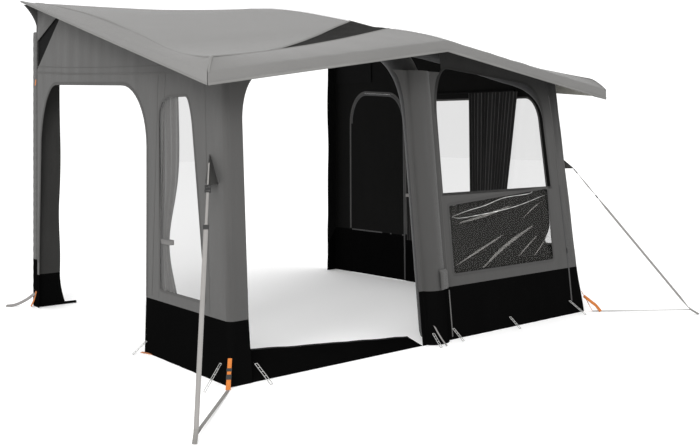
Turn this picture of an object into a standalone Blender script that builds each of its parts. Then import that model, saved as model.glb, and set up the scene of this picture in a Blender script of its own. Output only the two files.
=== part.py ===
"""Campervan awning on three air beams, built piece by piece.

The rear edge fastens to the vehicle along +Y, the front faces -Y and +X is to
the right seen from the front. Ground is at Z = 0 and all sizes are in metres.
While it is built, Y = 0 is the rail line on the vehicle. At the end everything
is moved so that the middle of the footprint is at the origin.
"""

import math

import bmesh
import bpy
from mathutils import Matrix, Vector

# Driving dimensions of the shelter
RAIL_HEIGHT = 2.50
REAR_HALF_WIDTH = 1.59
FOOT_HALF_WIDTH = REAR_HALF_WIDTH + 0.09
DEPTH = 3.01
FRONT_RAKE = 0.11
LEG_LEAN = 0.045

# Roof
RIDGE_RISE = 0.035
RIDGE_FALL = (0.0, 0.012, 0.079, 0.250, 0.352, 0.463)
SIDE_FALL = (0.0, 0.100, 0.235, 0.440, 0.590, 0.645)
FALL_STATIONS = (0.0, 0.60, 1.30, 2.09, 2.55, 3.10)
CREASE_HALF_REAR = REAR_HALF_WIDTH + 0.03
CREASE_HALF_FRONT = REAR_HALF_WIDTH + 0.21
CREASE_DEPTH = 3.00
EAVE_HALF_REAR = REAR_HALF_WIDTH + 0.14
EAVE_HALF_FRONT = REAR_HALF_WIDTH + 0.285
EAVE_DEPTH = 3.085
EAVE_CORNER_HEIGHT = RAIL_HEIGHT - 0.80
PEAK_DEPTH = 3.101
PEAK_HEIGHT = RAIL_HEIGHT - 0.515
FASCIA_DROP = 0.08
SEAM_RIDGE_DEPTH = 2.52
VENT_RIDGE_DEPTH = 2.09
VENT_HALF_WIDTH = CREASE_HALF_FRONT - 0.46
VENT_GAP = 0.0009
VENT_CLOTH = 0.003
ROOF_COLUMNS = 20
ROOF_SAG = 0.012

# Cloth
CLOTH = 0.004
FILM = 0.003
PAD = 0.012
SEAM_GAP = 0.0013
TOUCH = 0.0004
ROOF_CLEARANCE = 0.0047
GROUND = 0.0004

# Mud walls
MUD_HEIGHT = 0.36
MUD_HEIGHT_RIGHT = 0.44
REAR_MUD_HEIGHT = 0.27

# Air beams and legs
BEAM_RADIUS = 0.095
BEAM_SIDES = 3
SLEEVE_GAP = 0.0019
SIDE_BEAM_RADIUS = 0.060
SIDE_SLEEVE_GAP = 0.0010
LEG_CORNER_RADIUS = 0.040
BEAM_BELOW_ROOF = 0.018
BEAM_REAR = 0.058
BEAM_FROM_WALL = 0.045
LEG_WING_HALF = FOOT_HALF_WIDTH - 0.15
MIDDLE_WING_HALF = 0.145
MIDDLE_BULGE = 0.055
MIDDLE_TUBE_HALF = 0.10
FLARE_HEIGHT = 0.30
FLARE_LEFT = 0.15
FLARE_RIGHT = 0.04
FLARE_MIDDLE = 0.10
FLARE_STEPS = 6
WING_TAPER = 0.036
WING_TOP_SIDE = RAIL_HEIGHT - 0.70
WING_TOP_MIDDLE = RAIL_HEIGHT - 0.63
KNEE_FOOT = RAIL_HEIGHT - 0.95
KNEE_TURN = RAIL_HEIGHT - 0.65
KNEE_DEPTH_MIDDLE = 2.20
KNEE_DEPTH_SIDE = 2.36

# Side walls: distances back to front from the rail, and heights
DOOR_LEFT = (0.040, 1.942, RAIL_HEIGHT - 0.71)
DOOR_LEAN = (0.10, 0.05)
DOOR_LEAN_START = 0.95
DOOR_RIGHT = (0.245, 1.02, RAIL_HEIGHT - 0.68)
WINDOW_LEFT = (2.135, 2.70, 0.437, RAIL_HEIGHT - 0.835, 0.075, FRONT_RAKE * 1.25)
WINDOW_RIGHT = (1.22, 2.725, 0.52, RAIL_HEIGHT - 0.78, 0.0, FRONT_RAKE)
WINDOW_RADIUS = 0.13
LEG_EDGE_FOOT = 2.80
LEG_SEAM_BACK = 0.01
GUSSET_LENGTH = 0.53
GUSSET_WALL_HEIGHT = RAIL_HEIGHT - 0.55
GUSSET_FLAP_HEIGHT = RAIL_HEIGHT - 0.315
SEAL_DEPTH = 0.085
SEAL_TOP = RAIL_HEIGHT - 0.24
REAR_PANEL_WIDTH = (0.19, 0.115)
REAR_PANEL_FLARE = (0.05, 0.005)
REAR_FOOT_GAP = 0.0030

DOOR_CLEARANCE = 0.0009
DOOR_FOOT = 0.003

# Front right panel
SILL_HEIGHT = 1.01
PANEL_CLEARANCE = 0.017
PANEL_TOP = RAIL_HEIGHT - 0.56
PANE = (0.215, LEG_WING_HALF - 0.185, 0.445)
PANE_HEAD = (SILL_HEIGHT - 0.090, SILL_HEIGHT - 0.017)
PANE_RADIUS = 0.02
VERANDA = (0.165, LEG_WING_HALF - 0.135, RAIL_HEIGHT - 0.70)
VERANDA_RADIUS = 0.20
VERANDA_SLOPE = 0.09
VERANDA_LEAN = 0.05
FLAP_CLEARANCE = 0.006
FLAP_BEHIND = 0.0006

# Threshold strip across the open front
THRESHOLD_RISE = (0.15, 0.035)
THRESHOLD_REACH = 0.14
THRESHOLD_LEG_CUT = 0.085

# Curtains
CURTAIN_PLEAT = 0.022
PLEAT_PITCH = 0.055
WAIST_REACH = 0.33
WAIST_MIDDLE = 0.35
WAIST_PULL = (0.35, 0.75)
CURTAIN_STANDOFF = 0.010
CURTAIN_TOP = RAIL_HEIGHT - 0.72
CURTAIN_FOOT = 0.43
CURTAIN_FOOT_REAR = 0.40
CURTAIN_FOOT_MIDDLE = 0.47
CURTAIN_CLOTH = 0.003
TRACK_HEIGHT = 0.012
TIEBACK_HEIGHT = 0.030
TIEBACK_CLOTH = 0.002
TIE_LEFT = 0.74
TIE_RIGHT = 0.83
CURTAIN_LEFT = (2.08, 2.25)
CURTAIN_REAR = (1.06, 1.22)
CURTAIN_MIDDLE = (1.84, 2.36)
CURTAIN_REARWARD = 0.50
TRACK_LEFT = (2.07, 2.48)
TRACK_RIGHT = (1.04, 2.38)

# Storm straps: the patch is sewn at the seam of side wall and leg
STRAP_WIDTH = 0.025
STRAP_THICK = 0.002
STORM_JOIN = ((FOOT_HALF_WIDTH + 0.609, DEPTH + 0.638), (FOOT_HALF_WIDTH + 0.568, DEPTH + 0.600))
STORM_JOIN_LIFT = 0.030
STORM_PATCH_DEPTH = 2.71
STORM_PATCH_HEIGHT = RAIL_HEIGHT - 1.36
STORM_PATCH_TIP = (-0.015, 0.175)
STORM_PATCH_BACK = 0.055
STORM_PATCH_AHEAD = 0.095
STORM_PATCH_REACH = 0.19
BUCKLE_SIZE = (0.050, 0.036, 0.010)
ADJUSTER_SIZE = (0.030, 0.034, 0.009)
ADJUSTER_ALONG = 0.24
GROUND_STRAP_LIFT = 0.004
GROUND_STRAP_STOP = 0.050
GROUND_STRAP_GAP = 0.0012

# Pegging
LADDER_WIDTH = 0.022
LADDER_THICK = 0.003
LADDER_HOLES = 5
LADDER_RUNG = 0.005
LADDER_TOP = 0.075
LADDER_REACH = 0.095
LADDER_SIDE = 1.965
LADDER_MIDDLE = 0.160
LADDER_FRONT = 0.770
CORNER_STRAP_TOP = 0.16
CORNER_STRAP_REACH = 0.065
ORANGE_WIDTH = 0.026
ORANGE_THICK = 0.0025
WEBBING_WIDTH = 0.020
WEBBING_THICK = 0.002

# Inflation point on the middle leg, under its flap
VALVE_X = 0.05
VALVE_HEIGHT = 0.435
VALVE_RADIUS = 0.019
VALVE_BORE = 0.0125
VALVE_DEPTH = 0.009
PIN_THICK = 0.003
PIN_BELOW = 0.001
CAP_THICK = 0.004
CAP_EAR = 0.005
VALVE_FLAP = (0.105, 0.135)
VALVE_FLAP_CLOTH = 0.002
VALVE_FLAP_TOP = 0.062
VALVE_FLAP_DROPS = (0.0, 0.022, 0.075)

# Zip sliders
SLIDER_SIZE = (0.014, 0.010, 0.005)
PULL_TAB = (0.026, 0.006)
SLIDER_REST = 0.50
SLIDER_TRAVEL = 0.90
SLIDER_SEAT = 0.0005

# Rail beading
BEADING_RADIUS = 0.0035

ARC_STEPS = 6


def clear_scene():
    for item in list(bpy.data.objects):
        bpy.data.objects.remove(item, do_unlink=True)


def collection(name):
    group = bpy.data.collections.new(name)
    bpy.context.scene.collection.children.link(group)
    return group


clear_scene()
AWNING = collection("campervan_awning")
CUTTERS = collection("cutters")

COLOURS = {
    "roof_cloth": ((0.300, 0.296, 0.285), 0.80, 0.0),
    "wall_cloth": ((0.140, 0.137, 0.133), 0.85, 0.0),
    "dark_cloth": ((0.018, 0.018, 0.018), 0.85, 0.0),
    "mud_cloth": ((0.006, 0.006, 0.006), 0.55, 0.0),
    "film": ((0.80, 0.81, 0.82), 0.12, 0.0),
    "mesh_cloth": ((0.030, 0.029, 0.027), 0.90, 0.0),
    "beam_cloth": ((0.035, 0.035, 0.036), 0.75, 0.0),
    "curtain_cloth": ((0.115, 0.112, 0.108), 0.90, 0.0),
    "webbing": ((0.40, 0.385, 0.355), 0.80, 0.0),
    "orange_webbing": ((0.56, 0.185, 0.030), 0.75, 0.0),
    "black_plastic": ((0.010, 0.010, 0.010), 0.45, 0.0),
    "ladder_rubber": ((0.36, 0.36, 0.35), 0.55, 0.0),
}


def material(name):
    known = bpy.data.materials.get(name)
    if known:
        return known
    colour, roughness, metallic = COLOURS[name]
    made = bpy.data.materials.new(name)
    made.use_nodes = True
    shader = made.node_tree.nodes["Principled BSDF"]
    shader.inputs["Base Color"].default_value = (*colour, 1.0)
    shader.inputs["Roughness"].default_value = roughness
    shader.inputs["Metallic"].default_value = metallic
    return made


def add_object(name, mesh, finish):
    made = bpy.data.objects.new(name, mesh)
    AWNING.objects.link(made)
    made.data.materials.append(material(finish))
    return made


def solidify(made, thickness, offset=0.0, even=True):
    """Give a sheet its thickness: even round folds, or plainly along the normals of a flat panel."""
    shell = made.modifiers.new("cloth thickness", "SOLIDIFY")
    shell.thickness = thickness
    shell.offset = offset
    shell.use_even_offset = even
    shell.use_quality_normals = not even
    return made


def pivot(made, point):
    """Put a moving piece's origin on its joint axis, leaving the piece where it is."""
    made.data.transform(Matrix.Translation(-Vector(point)))
    made.location = point
    return made


# Shapes shared by many pieces


def grid_sheet(name, columns, rows, place, finish, thickness=CLOTH, offset=0.0):
    """A cloth sheet on a grid of columns by rows cells, each corner put by place(i, j)."""
    mesh = bpy.data.meshes.new(name)
    work = bmesh.new()
    bmesh.ops.create_grid(work, x_segments=columns, y_segments=rows, size=1.0)
    for corner in work.verts:
        i = round((corner.co.x + 1.0) / 2.0 * columns)
        j = round((corner.co.y + 1.0) / 2.0 * rows)
        corner.co = Vector(place(i, j))
    work.to_mesh(mesh)
    work.free()
    return solidify(add_object(name, mesh, finish), thickness, offset)


def flat_outline(name, loops, place, finish, thickness=CLOTH, offset=0.0):
    """A cloth panel cut to its outline, with holes, and hung by place(u, v)."""
    outline = bpy.data.curves.new(name + "_outline", "CURVE")
    outline.dimensions = "2D"
    outline.fill_mode = "FRONT"
    for loop in loops:
        spline = outline.splines.new("POLY")
        spline.points.add(len(loop) - 1)
        for point, (u, v) in zip(spline.points, loop):
            point.co = (u, v, 0.0, 1.0)
        spline.use_cyclic_u = True
    guide = bpy.data.objects.new(name + "_outline", outline)
    CUTTERS.objects.link(guide)
    bpy.context.view_layer.update()
    seen = guide.evaluated_get(bpy.context.evaluated_depsgraph_get())
    mesh = bpy.data.meshes.new_from_object(seen)
    mesh.name = name
    bpy.data.objects.remove(guide, do_unlink=True)
    work = bmesh.new()
    work.from_mesh(mesh)
    bmesh.ops.remove_doubles(work, verts=work.verts, dist=1e-5)
    inner = [edge for edge in work.edges if not edge.is_boundary]
    bmesh.ops.beautify_fill(work, faces=work.faces, edges=inner)
    for corner in work.verts:
        corner.co = Vector(place(corner.co.x, corner.co.y))
    bmesh.ops.recalc_face_normals(work, faces=work.faces)
    work.to_mesh(mesh)
    work.free()
    mesh.materials.clear()
    return solidify(add_object(name, mesh, finish), thickness, offset, False)


def tube(name, points, radius, finish, resolution=2):
    path = bpy.data.curves.new(name, "CURVE")
    path.dimensions = "3D"
    path.bevel_depth = radius
    path.bevel_resolution = resolution
    path.use_fill_caps = True
    spline = path.splines.new("POLY")
    spline.points.add(len(points) - 1)
    for point, place in zip(spline.points, points):
        point.co = (*place, 1.0)
    return add_object(name, path, finish)


def bars(name, items, finish):
    """Flat bars, each given by its two ends, width direction, width and thickness."""
    mesh = bpy.data.meshes.new(name)
    work = bmesh.new()
    for start, end, across, width, thick in items:
        start, end, across = Vector(start), Vector(end), Vector(across)
        along = (end - start).normalized()
        side = (across - along * across.dot(along)).normalized()
        normal = along.cross(side)
        turn = Matrix((along, side, normal)).transposed().to_4x4()
        size = Matrix.Diagonal(((end - start).length, width, thick, 1.0))
        middle = Matrix.Translation((start + end) / 2.0)
        bmesh.ops.create_cube(work, size=1.0, matrix=middle @ turn @ size)
    work.to_mesh(mesh)
    work.free()
    return add_object(name, mesh, finish)


def ellipse_corner(centre, radii, start, end, steps=ARC_STEPS):
    """Points on a quarter of an ellipse from one angle to another, in degrees."""
    points = []
    for k in range(steps + 1):
        angle = math.radians(start + (end - start) * k / steps)
        points.append((centre[0] + radii[0] * math.cos(angle), centre[1] + radii[1] * math.sin(angle)))
    return points


def arched(left, right, foot, head_left, head_right, radii_left, radii_right, foot_radius=0.0):
    """An opening with rounded head corners, anticlockwise from its foot on the left."""
    points = []
    if foot_radius:
        points += ellipse_corner((left + foot_radius, foot + foot_radius), (foot_radius,) * 2, 180, 270, 3)
        points += ellipse_corner((right - foot_radius, foot + foot_radius), (foot_radius,) * 2, 270, 360, 3)
    else:
        points += [(left, foot), (right, foot)]
    points += ellipse_corner((right - radii_right[0], head_right - radii_right[1]), radii_right, 0, 90)
    points += ellipse_corner((left + radii_left[0], head_left - radii_left[1]), radii_left, 90, 180)
    return points


# Surfaces of the shelter


def profile(depth, falls):
    """The fall below the rail at a depth, on straight runs between the stations."""
    depth = max(0.0, min(depth, FALL_STATIONS[-1]))
    for k in range(len(falls) - 1):
        near, far = FALL_STATIONS[k], FALL_STATIONS[k + 1]
        if depth <= far:
            share = (depth - near) / (far - near)
            return falls[k] + (falls[k + 1] - falls[k]) * share
    return falls[-1]


def smooth_profile(depth, falls, reach=0.22):
    """The same fall, rounded over a short reach as the tensioned cloth does."""
    total = 0.0
    for k in range(5):
        total += profile(depth + reach * (k - 2) / 2.0, falls)
    return total / 5.0


def crease_half(depth):
    return CREASE_HALF_REAR + (CREASE_HALF_FRONT - CREASE_HALF_REAR) * depth / CREASE_DEPTH


def roof_height(x, depth):
    """Height of the roof's middle surface over a point at x, depth in front of the rail."""
    ridge = RAIL_HEIGHT + RIDGE_RISE - smooth_profile(depth, RIDGE_FALL)
    side = RAIL_HEIGHT - smooth_profile(depth, SIDE_FALL)
    share = min(1.0, abs(x) / crease_half(depth))
    sag = ROOF_SAG * 4.0 * share * (1.0 - share) * min(1.0, depth / 0.5)
    return ridge + (side - ridge) * share - sag


def side_half(depth, height):
    """Half width of the side wall's middle surface."""
    share = depth / DEPTH
    splay = (FOOT_HALF_WIDTH - REAR_HALF_WIDTH) * share
    return REAR_HALF_WIDTH + splay - LEG_LEAN * height * max(0.0, share)


def front_depth(height):
    return DEPTH - FRONT_RAKE * height


def on_side(sign, inset=0.0):
    return lambda u, v: (sign * (side_half(u, v) - inset), -u, v)


def on_front(inset=0.0):
    return lambda u, v: (u, -front_depth(v) + inset, v)


def seam_point(x):
    """A point of the seam between the main roof and the front canopy."""
    share = 1.0 - abs(x) / CREASE_HALF_FRONT
    depth = CREASE_DEPTH + (SEAM_RIDGE_DEPTH - CREASE_DEPTH) * share
    return Vector((x, -depth, roof_height(x, depth)))


def eave_half(depth):
    return EAVE_HALF_REAR + (EAVE_HALF_FRONT - EAVE_HALF_REAR) * depth / EAVE_DEPTH


def eave_height(depth):
    return RAIL_HEIGHT - 0.01 + (EAVE_CORNER_HEIGHT - RAIL_HEIGHT + 0.01) * depth / EAVE_DEPTH


# Roof


def main_edge_depth(x):
    """Depth of the main roof's front edge: on the seam at the sides, back to the vent at the ridge."""
    if abs(x) >= VENT_HALF_WIDTH:
        return -seam_point(x).y
    joined = -seam_point(VENT_HALF_WIDTH).y
    share = 1.0 - abs(x) / VENT_HALF_WIDTH
    return joined + (VENT_RIDGE_DEPTH - joined) * share


def roof_main():
    columns, rows = ROOF_COLUMNS, 12

    def place(i, j):
        across = 2.0 * i / columns - 1.0
        x_front = across * (CREASE_HALF_FRONT - SEAM_GAP)
        deep = main_edge_depth(x_front) - SEAM_GAP
        share = j / rows
        depth = deep * share
        x = across * (crease_half(depth) - SEAM_GAP)
        x += (x_front - across * (crease_half(deep) - SEAM_GAP)) * share
        return x, -depth, roof_height(x, depth)

    return grid_sheet("roof_main", columns, rows, place, "roof_cloth")


def front_canopy():
    columns, rows = ROOF_COLUMNS, 3

    def place(i, j):
        across = 2.0 * i / columns - 1.0
        upper = seam_point(across * CREASE_HALF_FRONT)
        x = across * EAVE_HALF_FRONT
        share = abs(across)
        depth = PEAK_DEPTH + (EAVE_DEPTH - PEAK_DEPTH) * share
        low = PEAK_HEIGHT + (EAVE_CORNER_HEIGHT - PEAK_HEIGHT) * share
        lip = Vector((x, -depth, low + FASCIA_DROP))
        if j == 0:
            return upper + Vector((0.0, -SEAM_GAP, 0.0))
        if j == 1:
            return (upper + lip) / 2.0 + Vector((0.0, 0.0, 0.006))
        if j == 2:
            return lip
        return x, -depth, low

    return grid_sheet("front_canopy", columns, rows, place, "roof_cloth")


def side_band(sign, name):
    columns, rows = 12, 2

    def place(i, j):
        share = i / columns
        crease = (CREASE_DEPTH - CLOTH) * share
        upper = Vector((sign * (crease_half(crease) + TOUCH), -crease, roof_height(crease_half(crease), crease)))
        depth = (EAVE_DEPTH - 2.5 * CLOTH) * share
        low = Vector((sign * eave_half(depth), -depth, eave_height(depth)))
        lip = low + Vector((0.0, 0.0, 0.012 + (FASCIA_DROP - 0.020) * share))
        return (upper, lip, low)[j]

    return grid_sheet(name, columns, rows, place, "roof_cloth")


def roof_vent_mesh():
    """Mesh that fills the gap between the main roof's front edge and the seam."""
    station = 2.0 * CREASE_HALF_FRONT / ROOF_COLUMNS
    each_side = int(VENT_HALF_WIDTH / station)
    columns, rows = 2 * each_side, 3

    def place(i, j):
        x = (i - each_side) * station
        near = main_edge_depth(x) - SEAM_GAP + VENT_GAP
        far = -seam_point(x).y + SEAM_GAP - VENT_GAP
        depth = near + (far - near) * j / rows
        return x, -depth, roof_height(x, depth)

    return grid_sheet("roof_vent_mesh", columns, rows, place, "mesh_cloth", VENT_CLOTH)


def rail_beading():
    half = CREASE_HALF_REAR
    back = BEADING_RADIUS + TOUCH
    points = []
    for k in range(9):
        x = half * (k / 4.0 - 1.0)
        points.append((x, back, roof_height(x, 0.0)))
    return tube("rail_beading", points, BEADING_RADIUS, "webbing")


# Side and rear walls


def wall_top(sign, u):
    half = side_half(u, RAIL_HEIGHT)
    return roof_height(half, u) - CLOTH / 2.0 - ROOF_CLEARANCE


def leg_edge(height):
    return LEG_EDGE_FOOT - FRONT_RAKE * height


def leg_edge_top(sign):
    """Where the wall's front edge meets the roof."""
    top_u = leg_edge(1.9)
    for _ in range(6):
        top_u = leg_edge(wall_top(sign, top_u))
    return top_u


def window_loop(window, inset=0.0):
    """The window's outline: its front edge follows the rake of the leg."""
    rear, front, foot, head, lean, slant = window
    radius = WINDOW_RADIUS - inset
    loop = arched(rear + inset, front - inset, foot + inset, head - inset, head - inset,
                  (radius, radius), (radius, radius * 1.4), 0.02)
    middle = (rear + front) / 2.0
    leaned = []
    for u, v in loop:
        share = max(0.0, (u - middle) / (front - middle))
        leaned.append((u - (lean + share * slant) * (v - foot), v))
    return leaned


def upper_edge(sign, rear_u, rear_v):
    """The wall's top under the roof, from the leg back to the rear corner's cut."""
    points = []
    top_u = leg_edge_top(sign)
    steps = 12
    for k in range(steps + 1):
        u = top_u + (GUSSET_LENGTH - top_u) * k / steps
        points.append((u, wall_top(sign, u)))
    points.append((rear_u, rear_v))
    return points


def door_lean(u, v):
    """A depth of the left doorway's edge, both sides leaning in towards the head."""
    rear, front, _ = DOOR_LEFT
    middle = (rear + front) / 2.0
    share = min(1.0, abs(u - middle) / (front - middle))
    if u < middle:
        return u + share * DOOR_LEAN[0] * max(0.0, v - DOOR_LEAN_START)
    return u - share * DOOR_LEAN[1] * max(0.0, v - MUD_HEIGHT)


def side_wall_left():
    rear, front, head = DOOR_LEFT
    door = arched(rear, front, MUD_HEIGHT, head + 0.02, head - 0.025, (0.26, 0.44), (0.40, 0.42))
    door = [(door_lean(u, v), v) for u, v in door]
    door = door[1:] + door[:1]
    outline = [(0.0 + TOUCH, REAR_MUD_HEIGHT + TOUCH), (rear, REAR_MUD_HEIGHT + TOUCH)]
    arch = list(reversed(door[:-1]))
    outline += arch[:-1]
    outline += [(front, MUD_HEIGHT + TOUCH), (leg_edge(MUD_HEIGHT), MUD_HEIGHT + TOUCH)]
    outline += upper_edge(-1, TOUCH, GUSSET_WALL_HEIGHT)
    return flat_outline("side_wall_left", [outline, window_loop(WINDOW_LEFT)], on_side(-1), "wall_cloth")


def side_wall_right():
    rear, front, head = DOOR_RIGHT
    door = arched(rear, front, MUD_HEIGHT_RIGHT, head, head - 0.02, (0.22, 0.30), (0.22, 0.30))
    arch = list(reversed(door[2:]))
    outline = [(TOUCH, MUD_HEIGHT_RIGHT + TOUCH), (rear, MUD_HEIGHT_RIGHT + TOUCH)]
    outline += arch
    outline += [(front, MUD_HEIGHT_RIGHT + TOUCH), (leg_edge(MUD_HEIGHT_RIGHT), MUD_HEIGHT_RIGHT + TOUCH)]
    outline += upper_edge(1, TOUCH, GUSSET_WALL_HEIGHT)
    return flat_outline("side_wall_right", [outline, window_loop(WINDOW_RIGHT)], on_side(1), "wall_cloth")


def side_mudwall(sign, name, door_edge, height):
    """The black strip from the door's edge along the side wall and round the front leg."""
    def place(i, j):
        if i == 0:
            top = height - TOUCH
            return on_side(sign)(door_edge, GROUND if j == 0 else top)
        if i == 1:
            top = height - TOUCH
            z = GROUND if j == 0 else top
            return on_side(sign)(leg_edge(z) - LEG_SEAM_BACK, z)
        z = GROUND if j == 0 else MUD_HEIGHT - TOUCH
        point = side_section(sign, z, LEG_WING_HALF)[i - 2]
        corner = Vector((sign * side_half(DEPTH, 0.0), -DEPTH, GROUND))
        if j == 0 and 3 <= i <= 9:
            point = point.lerp(corner, 1.0 - abs(i - 6) / 4.0)
        return point

    return grid_sheet(name, 10, 1, place, "mud_cloth")


def mudwalls():
    side_mudwall(-1, "mudwall_left", DOOR_LEFT[1], MUD_HEIGHT)
    side_mudwall(1, "mudwall_right", DOOR_RIGHT[1], MUD_HEIGHT_RIGHT)

    def place(i, j):
        height = GROUND if j == 0 else MUD_HEIGHT - TOUCH
        if i <= 8:
            return middle_section(height, MIDDLE_WING_HALF)[i]
        return LEG_WING_HALF - SEAM_GAP, -front_depth(height), height

    grid_sheet("mudwall_front", 9, 1, place, "mud_cloth")


def window_films():
    inset = TOUCH * 3.0
    flat_outline("window_film_left", [window_loop(WINDOW_LEFT, inset)], on_side(-1), "film", FILM)
    flat_outline("window_film_right", [window_loop(WINDOW_RIGHT, inset)], on_side(1), "film", FILM)


def rear_gusset(sign, name):
    """The triangular flap that closes the roof's rear corner over the side wall."""
    top = wall_top(sign, 0.0)
    loop = [(TOUCH, GUSSET_FLAP_HEIGHT), (GUSSET_LENGTH - 0.01, wall_top(sign, GUSSET_LENGTH) + 0.003), (TOUCH, top)]
    return flat_outline(name, [loop], on_side(sign), "wall_cloth")


def rear_panel(sign, name):
    """The dark panel across the rear corner that closes against the vehicle's side."""
    half = REAR_HALF_WIDTH - CLOTH / 2.0 - TOUCH
    inner = REAR_HALF_WIDTH - REAR_PANEL_WIDTH[sign > 0]
    loop = []
    top = roof_height(half, 0.0) - CLOTH / 2.0 - ROOF_CLEARANCE
    corner = REAR_MUD_HEIGHT if sign < 0 else MUD_HEIGHT_RIGHT
    foot = REAR_FOOT_GAP
    for u, v in [(inner, REAR_MUD_HEIGHT + foot), (half, corner + foot), (half, top), (inner, top)]:
        loop.append((sign * u, v))
    if sign < 0:
        loop.reverse()
    return flat_outline(name, [loop], lambda u, v: (u, -CLOTH, v), "dark_cloth")


def rear_mudflap(sign, name):
    """The black foot of the rear corner: rear panel, corner and margin in one folded strip."""
    inner = REAR_HALF_WIDTH - REAR_PANEL_WIDTH[sign > 0]
    margin = DOOR_LEFT[0] if sign < 0 else DOOR_RIGHT[0]
    height = REAR_MUD_HEIGHT if sign < 0 else MUD_HEIGHT_RIGHT
    stations = [(inner, 0.0), (REAR_HALF_WIDTH, 0.0), (REAR_HALF_WIDTH, margin)]

    def place(i, j):
        x, depth = stations[i]
        widening = REAR_PANEL_FLARE[sign > 0] if (i == 0 and j == 0) else 0.0
        top = REAR_MUD_HEIGHT if i == 0 else height
        z = 0.0 if j == 0 else top - TOUCH
        return sign * (x - widening), -depth - (CLOTH if i < 2 else 0.0), z

    return grid_sheet(name, 2, 1, place, "mud_cloth")


def rear_seal(sign, name):
    """A padded strip that presses against the vehicle, from the ground to the gusset."""
    low = (sign * REAR_HALF_WIDTH, TOUCH, 0.0)
    high = (sign * REAR_HALF_WIDTH, TOUCH, SEAL_TOP)
    shift = Vector((0.0, SEAL_DEPTH / 2.0, 0.0))
    item = (Vector(low) + shift, Vector(high) + shift, (0, 1, 0), SEAL_DEPTH - TOUCH, PAD)
    return bars(name, [item], "wall_cloth")


# Air beams


def rib_points(leg, x_of, z_of, knee_depth, inset, steps=8):
    """Centre line of a beam: up the leg, round the knee and back along the roof to the rail."""
    foot = leg(0.012)
    points = [foot] + [leg(KNEE_FOOT * k / 3.0) for k in (1, 2, 3)]
    roof = []
    for k in range(steps + 1):
        depth = knee_depth * (1.0 - k / steps) + BEAM_REAR * k / steps
        roof.append(Vector((x_of(depth), -depth, z_of(depth))))
    level_end = roof[-1] + Vector((0.0, 0.05, 0.0))
    start, end = points[-1], roof[0]
    turn = leg(z_of(front_depth(KNEE_TURN) - inset - 0.05)) + Vector((0.0, 0.006, 0.0))
    for k in range(1, 6):
        t = k / 6.0
        points.append(start.lerp(turn, t).lerp(turn.lerp(end, t), t))
    return points + roof + [level_end]


def air_beams():
    inset = BEAM_RADIUS + CLOTH / 2.0 + SLEEVE_GAP
    middle = inset - MIDDLE_BULGE - TOUCH * 2.0
    seat = CLOTH / 2.0 + BEAM_RADIUS
    side_inset = SIDE_BEAM_RADIUS + CLOTH / 2.0 + SIDE_SLEEVE_GAP
    side_seat = CLOTH / 2.0 + SIDE_BEAM_RADIUS

    def middle_leg(height):
        return Vector((0.0, -front_depth(height) + middle, height))

    def ridge_z(depth):
        lower = BEAM_BELOW_ROOF * min(1.0, max(0.0, depth - BEAM_REAR) / 0.3) + TOUCH
        return roof_height(0.0, depth) - seat - lower

    line = rib_points(middle_leg, lambda d: 0.0, ridge_z, KNEE_DEPTH_MIDDLE, inset)
    tube("air_beam_middle", line, BEAM_RADIUS, "beam_cloth", BEAM_SIDES)

    for sign, name in ((-1, "air_beam_left"), (1, "air_beam_right")):
        def side_leg(height):
            front = front_depth(height)
            return Vector((sign * (side_half(front, height) - side_inset), -front + side_inset, height))

        def x_of(depth):
            return sign * (side_half(depth, RAIL_HEIGHT) - SIDE_BEAM_RADIUS - BEAM_FROM_WALL)

        def z_of(depth):
            return roof_height(side_half(depth, 0.0), depth) - side_seat - BEAM_BELOW_ROOF

        line = rib_points(side_leg, x_of, z_of, KNEE_DEPTH_SIDE, side_inset)
        tube(name, line, SIDE_BEAM_RADIUS, "beam_cloth", BEAM_SIDES)


# Legs


def flare(height, top, reach):
    """How far a wing widens near its top, on a quarter circle."""
    start = top - FLARE_HEIGHT
    if height <= start:
        return 0.0
    share = min(1.0, (height - start) / FLARE_HEIGHT)
    return reach * (1.0 - math.sqrt(max(0.0, 1.0 - share * share)))


def side_wing(height, reach=FLARE_RIGHT):
    """Where the front wing of a side leg ends."""
    taper = WING_TAPER * (height - MUD_HEIGHT)
    return LEG_WING_HALF - max(0.0, taper) - flare(height, WING_TOP_SIDE, reach)


def middle_wing(height):
    return MIDDLE_WING_HALF + flare(height, WING_TOP_MIDDLE, FLARE_MIDDLE)


def side_section(sign, height, wing):
    """Outer surface of a side leg at a height: side flange, rounded corner, front wing."""
    front = front_depth(height)
    corner = side_half(front, height)
    radius = LEG_CORNER_RADIUS
    start = leg_edge(height) + SEAM_GAP
    points = [Vector((side_half(start, height), -start, height))]
    turn_start = front - radius
    points.append(Vector((side_half(turn_start, height), -turn_start, height)))
    for k in range(1, 6):
        angle = math.radians(90.0 * k / 6.0)
        x = corner - radius + radius * math.cos(angle)
        y = -(front - radius) - radius * math.sin(angle)
        points.append(Vector((x, y, height)))
    points.append(Vector((corner - radius, -front, height)))
    points.append(Vector((wing, -front, height)))
    for point in points:
        point.x *= sign
    return points


def flare_heights(top):
    """Heights from the foot of a flared wing to its top, shared with the panel beside it."""
    knee = top - FLARE_HEIGHT
    return [MUD_HEIGHT + TOUCH] + [knee + FLARE_HEIGHT * k / FLARE_STEPS for k in range(FLARE_STEPS + 1)]


def leg_sleeve(sign, name):
    heights = flare_heights(WING_TOP_SIDE)
    reach = FLARE_LEFT if sign < 0 else FLARE_RIGHT

    def place(i, j):
        if j < len(heights):
            height = heights[j]
            return side_section(sign, height, side_wing(height, reach))[i]
        height = WING_TOP_SIDE
        for _ in range(5):
            point = side_section(1, height, side_wing(height, reach))[i]
            height = roof_height(point.x, -point.y) - CLOTH / 2.0 - ROOF_CLEARANCE - CLOTH
        return side_section(sign, height, side_wing(height, reach))[i]

    return grid_sheet(name, 8, len(heights), place, "wall_cloth", CLOTH)


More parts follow.
